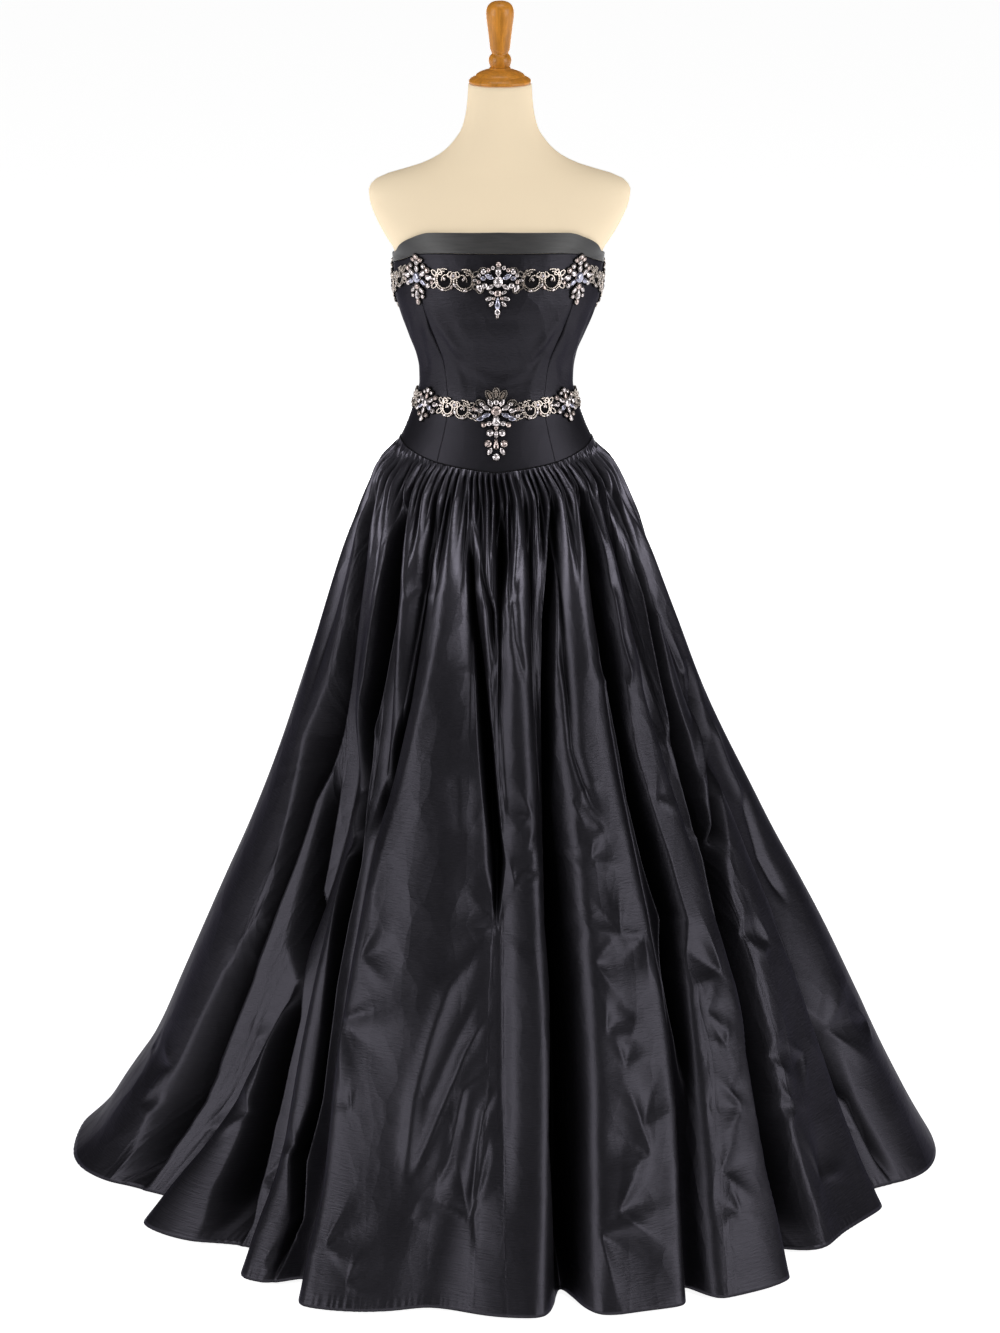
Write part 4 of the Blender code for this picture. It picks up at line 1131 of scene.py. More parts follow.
def narrow_gap(place, width):
    """1 at the whole numbers, falling to 0 at a width on either side."""
    away = np.abs(place - np.round(place))
    return 1.0 - smooth(away / width)


def valley_moves(angle, height, around):
    """Steep-sided inner folds, and how far each point lies inside one (0 to 1), which sets the painted shade there;
    the shade reaches a rim past the walls where the cloth turns edge-on.
    """
    total = np.zeros_like(angle)
    inside = np.zeros_like(angle)
    for _, depth, rows in VALLEYS + HIDDEN_VALLEYS:
        line = sorted(rows)
        levels = np.array([row[0] for row in line])
        left = np.interp(height, levels, [row[1] for row in line])
        right = np.interp(height, levels, [row[2] for row in line])
        middle = 0.5 * (left + right)
        away = turn_from(middle, angle) * around
        half = 0.5 * (right - left) * around
        edge_on = np.sin(np.radians(angle)) ** 2
        soft = 0.0055 + 0.0060 * edge_on
        far_side = away * np.sin(np.radians(middle)) > 0.0
        soft = soft + np.where(far_side, 0.9 * half * np.minimum(1.0, 4.0 * edge_on), 0.0)
        away = np.abs(away)
        wall = smooth((half + 0.5 * soft - away) / soft) * np.clip(half / 0.0065, 0.42, 1.0)
        # painted shade: reaches a rim beyond the wall where the cloth turns edge-on
        rim = 0.0040 * edge_on
        dark = smooth((half + 0.5 * soft + rim - away) / soft)
        floor = 0.74 + 0.26 * (1.0 - np.clip(away / np.maximum(half, 0.002), 0.0, 1.0))
        low = levels[0] if levels[0] > 0.13 else 0.015
        fade = smooth((height - low + 0.02) / 0.07) * smooth((levels[-1] + 0.03 - height) / 0.07)
        part = wall * fade
        total -= depth * MM * part * floor
        inside = np.maximum(inside, dark * fade)
    return total, inside


def crease_moves(angle, height, around):
    """Troughs and ridges that follow a line of points down the cloth."""
    total = np.zeros_like(angle)
    for row in CREASES:
        width = row[0] * MM
        depth = row[1] * MM
        line = sorted(row[2:], key=lambda point: point[1])
        levels = np.array([point[1] for point in line])
        turns = np.array([point[0] for point in line])
        low = levels[0]
        high = levels[-1]
        if len(line) > 2:
            slope = np.gradient(turns, levels)
        else:
            slope = np.full(len(line), (turns[-1] - turns[0]) / (high - low))
        centre = np.interp(height, levels, turns)
        lean = np.interp(height, levels, slope) * around
        away = turn_from(centre, angle) * around / np.sqrt(1.0 + lean * lean)
        fade = smooth((height - low) / (0.22 * (high - low))) * smooth((high - height) / (0.22 * (high - low)))
        reach = np.abs(away) / width
        total -= depth * fade * np.exp(-np.minimum(reach, 5.0) ** 1.6)
    return total


def pinch_moves(angle, height, around):
    """Sharp-tipped dents: from each tip a hollow opens one way between two ridges."""
    total = np.zeros_like(angle)
    for centre, level, direction, size in PINCHES + HIDDEN_PINCHES:
        right = turn_from(centre, angle) * around * 1000.0
        up = (height - level) * 1000.0
        reach = np.hypot(right, up) / size
        near = reach < 1.0
        turn = np.arctan2(up, right) - math.radians(direction)
        turn = np.abs((turn + math.pi) % math.tau - math.pi)
        ring = reach * (1.0 - np.minimum(reach, 1.0)) ** 2 * 6.75
        hollow = np.interp(turn, PINCH_TURNS, PINCH_HEIGHTS)
        total += np.where(near, hollow * ring * PINCH_GAIN * size * MM, 0.0)
    return total


def hem_puckers(angle, height):
    """Tiny pulls of the hem stitching, stronger in some stretches than in others."""
    amount = np.clip(0.5 + 0.9 * waves(angle * 0.11, 12), 0.0, 1.0)
    near = np.exp(-((height - 0.012) / 0.007) ** 2)
    return np.sin(angle * 7.3 + 2.0 * waves(angle * 0.9, 13)) * amount * near * 0.0007


def clear_of_form(points, angle, height):
    """Keeps the folds off the hips of the form."""
    body = on_form(angle, np.maximum(height, FORM_BOTTOM), np.full_like(angle, FORM_CLEARANCE))
    needed = np.hypot(body[..., 0], body[..., 1]) * smooth((height - FORM_BOTTOM + 0.03) / 0.03)
    reach = np.hypot(points[..., 0], points[..., 1])
    grown = np.maximum(1.0, needed / reach)
    return points * np.stack((grown, grown, np.ones_like(grown)), axis=-1)


def add_painted_shade(piece, values):
    """Keeps each point's painted shade for the finish: above 0 it darkens the folds and gaps, below 0 it is a painted
    highlight on the gathers' ridges.
    """
    layer = piece.data.attributes.new("fold", "FLOAT", "POINT")
    layer.data.foreach_set("value", values.reshape(-1))


def flank_trim(angle, height, below):
    """The two flanks hang a little closer than the folds alone would, most of all under the seam."""
    side = np.sin(np.radians(angle))
    near_seam = 1.0 - smooth((below - 0.02) / 0.20)
    closer = 0.0038 + near_seam * np.where(side > 0.0, 0.0080, 0.0040)
    tip = turn_from(HEM_TIP, angle) / 24.0
    tip = 0.0160 * np.exp(-tip ** 2) * np.exp(-((height - 0.045) / 0.045) ** 2)
    return closer * side ** 4 * smooth((height - 0.35) / 0.30) + tip


def outward_of(points):
    """Level directions away from the body's axis."""
    out = points.copy()
    out[..., 2] = 0.0
    return unit(out)


def build_skirt():
    """The whole folded surface, cut into its five gores."""
    share = np.linspace(0.0, 1.0, SKIRT_ROWS)
    angle, height, seam = skirt_places(share)
    below = seam - height
    plain = skirt_surface(angle, height, seam, np.zeros_like(angle))
    around = np.hypot(plain[..., 0], plain[..., 1]) * math.pi / 180.0
    inner, inside = valley_moves(angle, height, around)
    move, gap = gathers(angle, below)
    move = move + crease_moves(angle, height, around)
    move = move + pinch_moves(angle, height, around) * (1.0 - inside)
    move = move + hem_puckers(angle, height) + inner - flank_trim(angle, height, below)
    points = clear_of_form(skirt_surface(angle, height, seam, move), angle, height)
    # painted highlight on the gathers' ridges near the seam (kept below 0) and painted shade inside the valleys and
    # the gathers' gaps (above 0)
    light = 0.85 * (1.0 - smooth((below - 0.06) / 0.24)) * (1.0 - gap)
    inside = np.where(inside > 0.02, inside, -light)
    inside = np.maximum(inside, 0.72 * gap - light)
    middle = int(len(share) * 0.5)
    width = arc(points[middle:middle + 1], 1)
    fall = below * 1.12
    columns = points.shape[1]
    closed = np.concatenate((points, points[:, :1]), axis=1)
    wide = np.concatenate((width, width[:, -1:] + np.linalg.norm(points[middle, 0] - points[middle, -1])), axis=1)
    starts = np.concatenate(((0,), np.cumsum(FOLD_COLUMNS)))
    for name, first, last in SKIRT_PANELS:
        begin = int(starts[first])
        end = int(starts[last] if last < len(starts) else starts[last - len(FOLDS)] + columns)
        pick = np.arange(begin, end + 1)
        mine = closed[:, pick % columns].copy()
        u = wide[:, :-1][:, pick % columns] + np.where(pick >= columns, float(wide[0, -1]), 0.0)[None, :]
        v = fall[:, pick % columns]
        out = outward_of(mine)
        trims = []
        for drop, back in ((0.0008, 0), (0.0016, 1), (0.0016, 3)):
            trims.append(mine[-1 - back][None] - out[-1 - back][None] * drop)
        mine = np.concatenate([mine] + trims, axis=0)
        v = np.concatenate([v] + [v[-1:] + 0.004 * (i + 1) for i in range(len(trims))], axis=0)
        piece = cloth(name + "_cloth", mine, u, v, finish_of("taffeta"))
        shade = inside[:, pick % columns]
        add_painted_shade(piece, np.concatenate([shade] + [shade[-1:]] * len(trims), axis=0))
        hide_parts(name)
        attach(piece, "root")


# ---------------------------------------------------------------- the zip
def build_zip():
    """The solids of the zip keep their shape and are given their finishes."""
    for node, surface in (("zip_tape", "zip_tape"), ("zip_slider", "jewel_metal")):
        for place in NODES[node].material_slots:
            place.material = finish_of(surface)


# ---------------------------------------------------------------- jewelled trims (sizes in mm)
# stones of a motif: cut, right, up, width, length, turn (degrees), tint.  A row with "pair" is
# repeated on the other side.
CHEST_FRONT = (
    ("one", "round", 0, -1, 11.5, 12.5, 0, "clear"), ("one", "marquise", 0, 12.5, 8, 12.5, 0, "clear"),
    ("one", "round", 0, 21.5, 6, 6.5, 0, "rose"), ("pair", "round", 7.5, 17, 5, 5, 0, "clear"),
    ("pair", "marquise", 12, 5.5, 6, 12, -66, "lavender"),
    ("pair", "marquise", 20.5, 3.4, 5, 8, -82, "lavender"), ("pair", "round", 20.5, 12, 6.5, 6.5, 0, "clear"),
    ("pair", "round", 13.6, 14, 5, 5, 0, "rose"), ("pair", "marquise", 10.5, -7.5, 6, 10.5, -125, "clear"),
    ("pair", "round", 18.4, -6, 7, 7, 0, "clear"), ("pair", "pear", 25, -10, 7.5, 10, 158, "clear"),
    ("pair", "round", 26.4, -1.2, 4.6, 4.6, 0, "rose"), ("pair", "round", 26, 7, 4.4, 4.4, 0, "clear"),
    ("one", "round", 0, -16.6, 8.5, 8.5, 0, "rose"), ("pair", "marquise", 8.4, -15.2, 4.4, 7.6, -62, "clear"),
    ("pair", "marquise", 11.8, -24, 5.6, 9.6, -108, "clear"),
    ("pair", "marquise", 8.6, -31.4, 4.8, 8.6, -142, "clear"), ("pair", "round", 5.4, -23.6, 4, 4, 0, "rose"),
    ("one", "pear", 0, -30.4, 7.4, 15, 0, "lavender"), ("one", "marquise", 0, -42.6, 7, 9.6, 0, "clear"),
    ("one", "round", 0, -48.6, 3.4, 3.4, 0, "clear"),
)
CHEST_SIDE = (
    ("one", "round", 0, 0, 12, 13, 0, "lavender"), ("one", "marquise", 0, 11.6, 7, 10, 0, "clear"),
    ("one", "round", 0, 20, 6.8, 6.8, 0, "clear"), ("one", "round", 0, 28.4, 6.6, 7.6, 0, "rose"),
    ("pair", "round", 6.4, 24.2, 6, 6, 0, "rose"), ("pair", "marquise", 10.2, 6, 6.8, 12, -60, "clear"),
    ("pair", "round", 17.4, 10.8, 6.8, 6.8, 0, "rose"), ("pair", "pear", 20.4, 1.2, 7.6, 10.4, -90, "clear"),
    ("pair", "marquise", 10.6, -5.8, 6.8, 12, -118, "lavender"),
    ("pair", "round", 18.2, -9.4, 6.8, 6.8, 0, "clear"), ("pair", "round", 24.6, -5, 4.6, 4.6, 0, "rose"),
    ("pair", "round", 11, 15.6, 5.8, 5.8, 0, "clear"), ("one", "round", 0, -12.4, 7.6, 7.6, 0, "rose"),
    ("pair", "marquise", 7.4, -17.6, 5.4, 10, -134, "clear"), ("pair", "round", 8.8, -26, 5, 5, 0, "clear"),
    ("one", "pear", 0, -23.4, 8.2, 13, 0, "clear"), ("one", "round", 0, -34.2, 5.8, 7.4, 0, "rose"),
)
WAIST_FRONT = (
    ("one", "round", 0, 0.5, 12.6, 12.6, 0, "rose"), ("one", "round", 0, 12.6, 6, 7.2, 0, "clear"),
    ("pair", "marquise", 8, 12, 6.2, 10.6, -26, "clear"),
    ("pair", "marquise", 13.2, 4.6, 6.4, 11.4, -62, "clear"),
    ("pair", "marquise", 13.4, -6.2, 6.4, 12.4, -112, "lavender"),
    ("pair", "marquise", 21.8, -11, 6.2, 11.6, -104, "lavender"),
    ("one", "pear", 0, -13.2, 11.6, 14.4, 0, "clear"), ("pair", "round", 9.6, -17.6, 6.2, 6.2, 0, "clear"),
    ("pair", "round", 17, -19.4, 6.4, 6.4, 0, "rose"), ("pair", "pear", 23.2, 0.6, 6.8, 10.4, -84, "clear"),
    ("pair", "round", 30, -7.4, 5.2, 5.2, 0, "clear"), ("pair", "round", 30.6, 2.6, 4.6, 4.6, 0, "rose"),
    ("pair", "round", 20, 9.8, 5, 5, 0, "clear"), ("one", "round", 0, -23.6, 5, 5, 0, "rose"),
    ("pair", "round", 8.4, -30.4, 8.2, 8.2, 0, "clear"), ("one", "marquise", 0, -32.2, 5.6, 10.6, 0, "clear"),
    ("pair", "round", 11.2, -44.8, 8.6, 8.6, 0, "rose"), ("one", "pear", 0, -45, 7, 14, 0, "rose"),
    ("pair", "marquise", 8.8, -55.2, 6, 10, 30, "clear"), ("one", "round", 0, -63, 8.8, 8.8, 0, "clear"),
)
WAIST_SIDE = (
    ("one", "round", 0, 0, 11, 11, 0, "clear"), ("pair", "marquise", 9, 5, 6, 11, -60, "clear"),
    ("pair", "marquise", 9, -5.8, 6, 11, -120, "lavender"), ("pair", "round", 16, 9.6, 6, 6, 0, "rose"),
    ("pair", "round", 16.6, -9.8, 6, 6, 0, "clear"), ("pair", "pear", 18.6, 0, 6.8, 9.4, -90, "clear"),
    ("one", "marquise", 0, 10, 5.8, 8.6, 0, "rose"), ("one", "round", 0, 19, 6, 7, 0, "clear"),
    ("pair", "round", 7, 15.4, 5, 5, 0, "clear"), ("one", "marquise", 0, -10.6, 5.8, 9, 0, "clear"),
    ("pair", "round", 7.4, -17, 5.2, 5.2, 0, "rose"), ("one", "pear", 0, -21, 6.4, 10, 0, "clear"),
)
# cords of a motif: centre right and up, half width and half height, from and to (degrees), pair
WAIST_FRONT_CORDS = (
    (0, 25.6, 4.5, 9.2, 0, 360, 0, False), (9.2, 22.2, 4.3, 9.0, 0, 360, -24, True),
    (27.4, -5.0, 6.8, 8.8, 40, 330, 0, True), (21.6, 11.0, 6.4, 4.8, -60, 200, 12, True),
)
CHEST_FRONT_CORDS = (
    (20.6, 12.0, 6.4, 5.4, -20, 210, 0, True), (24.6, -10.6, 4.9, 6.2, 150, 400, 0, True),
)
# motifs: CAD node, angle, height, half width, stones, cords
MOTIFS = (
    ("motif_chest_front", 0.0, 1.334, 31.0, CHEST_FRONT, CHEST_FRONT_CORDS),
    ("motif_chest_left_1", 49.0, 1.333, 28.0, CHEST_SIDE, ()),
    ("motif_chest_left_2", 99.0, 1.312, 26.0, CHEST_SIDE, ()),
    ("motif_chest_left_3", 146.0, 1.300, 27.0, CHEST_SIDE, ()),
    ("motif_waist_front", 0.0, 1.142, 35.0, WAIST_FRONT, WAIST_FRONT_CORDS),
    ("motif_waist_left_1", 58.5, 1.145, 26.0, WAIST_SIDE, ()),
    ("motif_waist_left_2", 120.0, 1.144, 26.0, WAIST_SIDE, ()),
)
# links: CAD node, motif before, motif after (None is the zip), height of the ovals, number of ovals
LINKS = (
    ("link_chest_left_1", 0, 1, 31.0, 2),
    ("link_chest_left_2", 1, 2, 29.0, 2),
    ("link_chest_left_3", 2, 3, 28.0, 2),
    ("link_chest_left_4", 3, None, 26.0, 1),
    ("link_waist_left_1", 4, 5, 28.0, 2),
    ("link_waist_left_2", 5, 6, 26.0, 2),
    ("link_waist_left_3", 6, None, 26.0, 2),
)
LINK_GAP = 0.0008
# how much wider the backing and the cup of a stone are than the stone, and how wide a claw is
BACKING_RIM = 2.6
CUP_RIM = 0.9
CLAW_WIDTH = 1.1
# beads of a cord: length, and how far they swell (share of the radius)
BEAD_LENGTH = 1.25
BEAD_SWELL = 0.10
STONE_GROWTH = 1.10
ZIP_CLEAR = 0.0060
# finishes of a trim by their short names, in the order of its materials
TINTS = {
    "clear": "clear_crystal", "rose": "rose_crystal", "lavender": "lavender_crystal", "metal": "jewel_metal",
    "backing": "trim_backing",
}
# shapes of radius 1: rise and radius of each step
SHAPE_STEPS = {
    "stone": ((0.30, 1.0), (0.42, 0.66), (0.16, 0.40)),
    "cup": ((0.55, 0.94), (0.20, 0.90), (-0.30, 0.80)),
    "backing": ((1.0, 0.96),),
}
SHAPES = {}


def keep_shape(name, made):
    """Keeps the points and faces of an object and removes it."""
    verts = np.array([tuple(vertex.co) for vertex in made.data.vertices])
    faces = [tuple(face.vertices) for face in made.data.polygons]
    SHAPES[name] = (verts, faces)
    mesh = made.data
    bpy.data.objects.remove(made)
    bpy.data.meshes.remove(mesh)


def make_shapes():
    """The few small shapes that every stone is put together from."""
    facets = bpy.context.scene.gown_sizes.facets
    for name, steps in SHAPE_STEPS.items():
        keep_shape(name, drawn_up(facets, 1.0, 0.0, steps))
    deselect()
    bpy.ops.mesh.primitive_ico_sphere_add(subdivisions=1, radius=1.0, location=(0.0, 0.0, 0.0))
    keep_shape("claw", bpy.context.object)


def cut_outline(cut, verts):
    """Narrows a round shape to a pear or a marquise."""
    shaped = verts.copy()
    if cut == "pear":
        shaped[:, 0] *= 0.80 - 0.40 * shaped[:, 1]
    if cut == "marquise":
        shaped[:, 0] *= 1.0 - 0.58 * np.abs(shaped[:, 1]) ** 1.7
    return shaped


class Trim:
    """Small parts of one trim, gathered in millimetres beside its middle and then laid on the body."""

    def __init__(self):
        self.verts = []
        self.faces = []
        self.finishes = []
        self.count = 0

    def add(self, verts, faces, tint):
        """Adds points and faces in one of the trim's finishes."""
        self.verts.append(verts)
        self.faces.extend(tuple(v + self.count for v in face) for face in faces)
        self.finishes.extend([list(TINTS).index(tint)] * len(faces))
        self.count += len(verts)

    def shape(self, name, cut, place, size, turn, base, tall, tint):
        """Adds one of the small shapes at its place, cut to an outline and turned."""
        verts, faces = SHAPES[name]
        shaped = cut_outline(cut, verts) * (0.5 * size[0], 0.5 * size[1], 1.0)
        x, y = turned(shaped[:, 0], shaped[:, 1], turn)
        self.add(np.stack((x + place[0], y + place[1], base + shaped[:, 2] * tall), axis=-1), faces, tint)

    def stone(self, cut, x, y, width, length, turn, tint, raised):
        """A cut stone in its cup, with four claws on a backing."""
        width *= STONE_GROWTH
        length *= STONE_GROWTH
        small = min(width, length)
        backing = (width + BACKING_RIM, length + BACKING_RIM)
        cup = (width + CUP_RIM, length + CUP_RIM)
        self.shape("backing", cut, (x, y), backing, turn, -1.3, 1.7 + raised, "backing")
        self.shape("cup", cut, (x, y), cup, turn, 0.3 + raised, 1.9, "metal")
        self.shape("stone", cut, (x, y), (width, length), turn, 1.0 + raised, 0.30 * small, tint)
        for k in range(4):
            a = math.radians(45.0 + 90.0 * k)
            narrow = 0.72 if cut != "round" else 1.0
            right, up = turned(0.47 * width * math.cos(a) * narrow, 0.47 * length * math.sin(a), turn)
            claw = (CLAW_WIDTH, CLAW_WIDTH)
            self.shape("claw", "round", (x + right, y + up), claw, 0, 1.6 + raised, 0.6, "metal")

    def cord(self, points, radius):
        """A beaded cord along a line of points."""
        closed = np.allclose(points[0], points[-1])
        steps = np.concatenate(((0.0,), np.cumsum(np.linalg.norm(np.diff(points, axis=0), axis=1))))
        count = max(8, int(steps[-1] / BEAD_LENGTH))
        where = np.linspace(0.0, steps[-1], count + 1)
        line = np.stack([np.interp(where, steps, points[:, k]) for k in range(3)], axis=-1)
        if closed:
            along = unit(np.roll(line[:-1], -1, axis=0) - np.roll(line[:-1], 1, axis=0))
            along = np.concatenate((along, along[:1]))
        else:
            along = unit(np.gradient(line, axis=0))
        side = unit(np.cross(along, (0.0, 0.0, 1.0)))
        out = np.cross(side, along)
        bead = radius * (1.0 + BEAD_SWELL * np.cos(math.pi * np.arange(len(line))))
        verts = line[:, None, :] + cord_ring(side, out) * bead[:, None, None]
        if closed:
            verts = verts[:-1]
        rows = len(verts)
        faces = []
        for r in range(rows if closed else rows - 1):
            n = (r + 1) % rows
            for c in range(CORD_SIDES):
                d = (c + 1) % CORD_SIDES
                here = r * CORD_SIDES
                there = n * CORD_SIDES
                faces.append((here + c, there + c, there + d, here + d))
        if not closed:
            faces.append(tuple(range(CORD_SIDES)))
            faces.append(tuple(rows * CORD_SIDES - 1 - k for k in range(CORD_SIDES)))
        self.add(verts.reshape(-1, 3), faces, "metal")

    def lay(self, name, where, node):
        """Lays the trim on the body with where(), as one piece."""
        flat = np.concatenate(self.verts) * MM
        placed = where(flat[:, 0], flat[:, 1], flat[:, 2])
        made = new_object(name, placed, self.faces, [finish_of(f) for f in TINTS.values()], False, self.finishes)
        turn_outward(made)
        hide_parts(node)
        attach(made, "root")


def turn_outward(made):
    """Faces of closed shapes pointed outwards."""
    deselect()
    bpy.context.view_layer.objects.active = made
    made.select_set(True)
    edit_all()
    close_outward()
    made.select_set(False)


def ring_points(x, y, wide, tall, start, end, lift, tilt=0.0, curl=0.0, flip=1):
    """An oval line, or part of one; with a curl it runs on inside itself as a scroll."""
    run = end - start
    a = np.linspace(0.0, run + curl, max(12, int((abs(run) + curl) / 6.0)))
    past = smooth((a - run) / max(curl, 1.0)) if curl else np.zeros_like(a)
    turn = np.radians(start + a)
    right = flip * wide * (1.0 - 0.66 * past) * np.cos(turn)
    up = tall * (1.0 - 0.66 * past) * np.sin(turn) - 0.16 * tall * past
    right, up = turned(right, up, tilt)
    points = np.stack((x + right, y + up, np.full_like(a, lift)), axis=-1)
    if abs(run) == 360 and not curl:
        points[-1] = points[0]
    return points


def build_motif(row, sign, cord):
    """One motif: its stones, domed towards its middle, and its cords."""
    name, angle, height, half, stones, cords = row
    trim = Trim()
    for many, cut, x, y, width, length, turn, tint in stones:
        for side in ((1, -1) if many == "pair" else (1,)):
            raised = 1.6 * max(0.0, 1.0 - (x / half) ** 2 - (y / 40.0) ** 2)
            trim.stone(cut, side * x, y, width, length, side * turn, tint, raised)
    for x, y, wide, tall, start, end, tilt, pair in cords:
        for side in ((1, -1) if pair else (1,)):
            line = ring_points(x, y, wide, tall, start, end, 0.5, tilt)
            inner = ring_points(x, y, wide - 1.6 * cord, tall - 1.6 * cord, start, end, 0.9, tilt)
            for points in (line, inner):
                points[:, 0] *= side
                trim.cord(points, 0.5 * cord)
    label = name if sign > 0 else name.replace("left", "right")

    def where(right, up, lift):
        return on_bodice(sign * angle, height, right, up, lift)

    trim.lay("jewels_" + label[6:], where, label)


def build_link(row, sign, cord):
    """Ovals of doubled cord side by side, with a curl inside each and small stones where they meet."""
    name, first, second, tall, count = row
    before = MOTIFS[first]
    start = before[1] + float(degrees_for(MM * before[3] + LINK_GAP, before[1], before[2]))
    start_height = before[2]
    if second is None:
        end = 180.0 - float(degrees_for(ZIP_CLEAR, 180.0, start_height))
        end_height = start_height
    else:
        after = MOTIFS[second]
        end = after[1] - float(degrees_for(MM * after[3] + LINK_GAP, after[1], after[2]))
        end_height = after[2]
    middle = 0.5 * (start + end)
    long = 1000.0 * (end - start) / float(degrees_for(1.0, middle, 0.5 * (start_height + end_height)))
    trim = Trim()
    wide = 0.5 * long / count
    for oval in range(count):
        x = (oval + 0.5) * 2.0 * wide - 0.5 * long
        flip = 1 if oval % 2 == 0 else -1
        rx = wide - 0.5 * cord + 0.6
        ry = 0.5 * tall - 0.5 * cord
        tilt = 10.0 * flip
        trim.shape("backing", "round", (x, 0.0), (1.9 * rx, 1.9 * ry), 0, -1.3, 1.0, "backing")
        # two strands run round the oval, the inner one on inside it as a scroll
        trim.cord(ring_points(x, 0.0, rx, ry, 62, 372, 0.5, tilt, 0.0, flip), 0.52 * cord)
        less = 1.65 * cord
        trim.cord(ring_points(x, 0.0, rx - less, ry - less, 75, 330, 0.9, tilt, 200, flip), 0.46 * cord)
        # leaves on the rim
        trim.cord(ring_points(x - flip * 0.42 * rx, ry * 0.70, 2.6, 4.2, 0, 360, 1.9, 34 * flip), 0.42 * cord)
        trim.cord(ring_points(x + flip * 0.62 * rx, ry * 0.52, 2.4, 4.0, 0, 360, 1.7, -38 * flip), 0.42 * cord)
        trim.stone("marquise", x - flip * rx * 0.15, 1.0 - ry, 3.4, 6.4, 84 * flip, "clear", 0.8)
        trim.stone("round", x + flip * rx * 0.86, 0.40 * ry, 3.6, 3.6, 0, "rose", 0.7)
        trim.stone("pear", x + flip * rx * 0.05, 0.12 * ry, 3.4, 4.6, 40 * flip, "clear", 0.7)
        if oval < count - 1:
            trim.cord(ring_points(x + wide, 0.18 * tall, 3.8, 4.6, 0, 360, 1.5, 20), 0.46 * cord)
            trim.stone("marquise", x + wide - 1.6, -0.20 * tall, 3.8, 7.4, -34, "clear", 1.0)
            trim.stone("marquise", x + wide + 3.2, -0.30 * tall, 3.4, 6.4, 28, "rose", 0.9)
            trim.stone("round", x + wide + 0.4, 0.18 * tall, 3.2, 3.2, 0, "lavender", 1.1)
    # leaf loops at both ends reach over to the motifs
    for side in (1, -1):
        if side > 0 and second is None:
            continue
        end_x = side * (0.5 * long + 0.4)
        trim.cord(ring_points(end_x, 0.27 * tall, 2.7, 5.0, 0, 360, 1.2, -52 * side), 0.46 * cord)
        trim.cord(ring_points(end_x, -0.26 * tall, 2.9, 5.4, 0, 360, 1.2, 48 * side), 0.46 * cord)
        trim.stone("marquise", end_x, 0.02 * tall, 3.0, 6.2, 90, "clear", 0.9)
    label = name if sign > 0 else name.replace("left", "right")

    def where(right, up, lift):
        share = (right * 1000.0 + 0.5 * long) / long
        angle = start + (end - start) * share
        height = start_height + (end_height - start_height) * share
        return on_bodice(sign * angle, height, np.zeros_like(right), up, lift)

    trim.lay("cords_" + label[5:], where, label)


def build_trims():
    """Every motif and link, first on the wearer's left and in front, then on the right."""
    cord = bpy.context.scene.gown_sizes.cord * 1000.0
    make_shapes()
    for sign in (1, -1):
        for row in MOTIFS:
            if sign > 0 or "front" not in row[0]:
                build_motif(row, sign, cord)
        for row in LINKS:
            build_link(row, sign, cord)


# ---------------------------------------------------------------- the stage
# soft boxes: name, place, width and height (m), power (W), where it looks
SOFT_BOXES = (
    ("side_left", (-4.45, -2.85, 2.2), 3.5, 3.9, 168.0, (0.0, 0.0, 0.9)),
    ("side_right", (4.45, -2.75, 2.2), 3.5, 3.9, 176.0, (0.0, 0.0, 0.9)),
    ("front", (0.0, -7.6, 3.3), 2.6, 0.8, 12.0, (0.0, 0.0, 1.0)),
    ("back", (0.0, 5.5, 0.9), 3.6, 1.3, 60.0, (0.0, 0.0, 0.8)),
    ("top", (0.0, -0.4, 4.6), 2.4, 1.6, 36.0, (0.0, 0.0, 1.0)),
)
CAMERA_PLACE = (0.0, -6.731, 2.537)
CAMERA_PITCH = 75.09
CAMERA_LENS = 129.33
CAMERA_SENSOR = 36.0
WORLD_STRENGTH = 0.06
FLOOR_GLOW = 0.96
# the floor from its left front to its right back corner (m)
FLOOR_BOX = (-30.0, -1.7, 30.0, 60.0)


def floor_paint():
    """Evenly lit pale floor."""
    paint = Paint("studio_floor")
    colour = bpy.context.scene.gown_colours.floor
    cloud = paint.noise("Object", (0.6, 0.6, 0.6), 2.0, 0.5)
    paint.shader.inputs["Emission Strength"].default_value = FLOOR_GLOW
    return paint.look(
        Base_Color=paint.blend(cloud, rgba(colour, 0.985), rgba(colour)),
        Emission_Color=rgba(colour),
        Roughness=0.9,
    )


def build_stage():
    """The floor, the soft boxes, the world and the camera."""
    scene = bpy.context.scene
    left, near, right, far = FLOOR_BOX
    corners = [(left, near, 0.0), (right, near, 0.0), (right, far, 0.0), (left, far, 0.0)]
    floor = new_object("studio_floor", corners, [(0, 1, 2, 3)], [floor_paint()], smooth_faces=False)
    for name, place, width, height, power, aim in SOFT_BOXES:
        light = bpy.data.lights.new(name, "AREA")
        light.shape = "RECTANGLE"
        light.size = width
        light.size_y = height
        light.energy = power
        lamp = bpy.data.objects.new(name, light)
        lamp.location = place
        direction = Vector(aim) - Vector(place)
        lamp.rotation_euler = direction.to_track_quat("-Z", "Y").to_euler()
        scene.collection.objects.link(lamp)
    world = bpy.data.worlds.new("studio")
    world.use_nodes = True
    background = world.node_tree.nodes["Background"]
    background.inputs["Color"].default_value = (1.0, 1.0, 1.0, 1.0)
    background.inputs["Strength"].default_value = WORLD_STRENGTH
    scene.world = world
    data = bpy.data.cameras.new("camera")
    data.sensor_fit = "AUTO"
    data.sensor_width = CAMERA_SENSOR
    data.lens = CAMERA_LENS
    data.clip_end = 200.0
    camera = bpy.data.objects.new("camera", data)
    camera.location = CAMERA_PLACE
    camera.rotation_euler = (math.radians(CAMERA_PITCH), 0.0, 0.0)
    scene.collection.objects.link(camera)
    scene.camera = camera
    scene.view_settings.view_transform = "Standard"


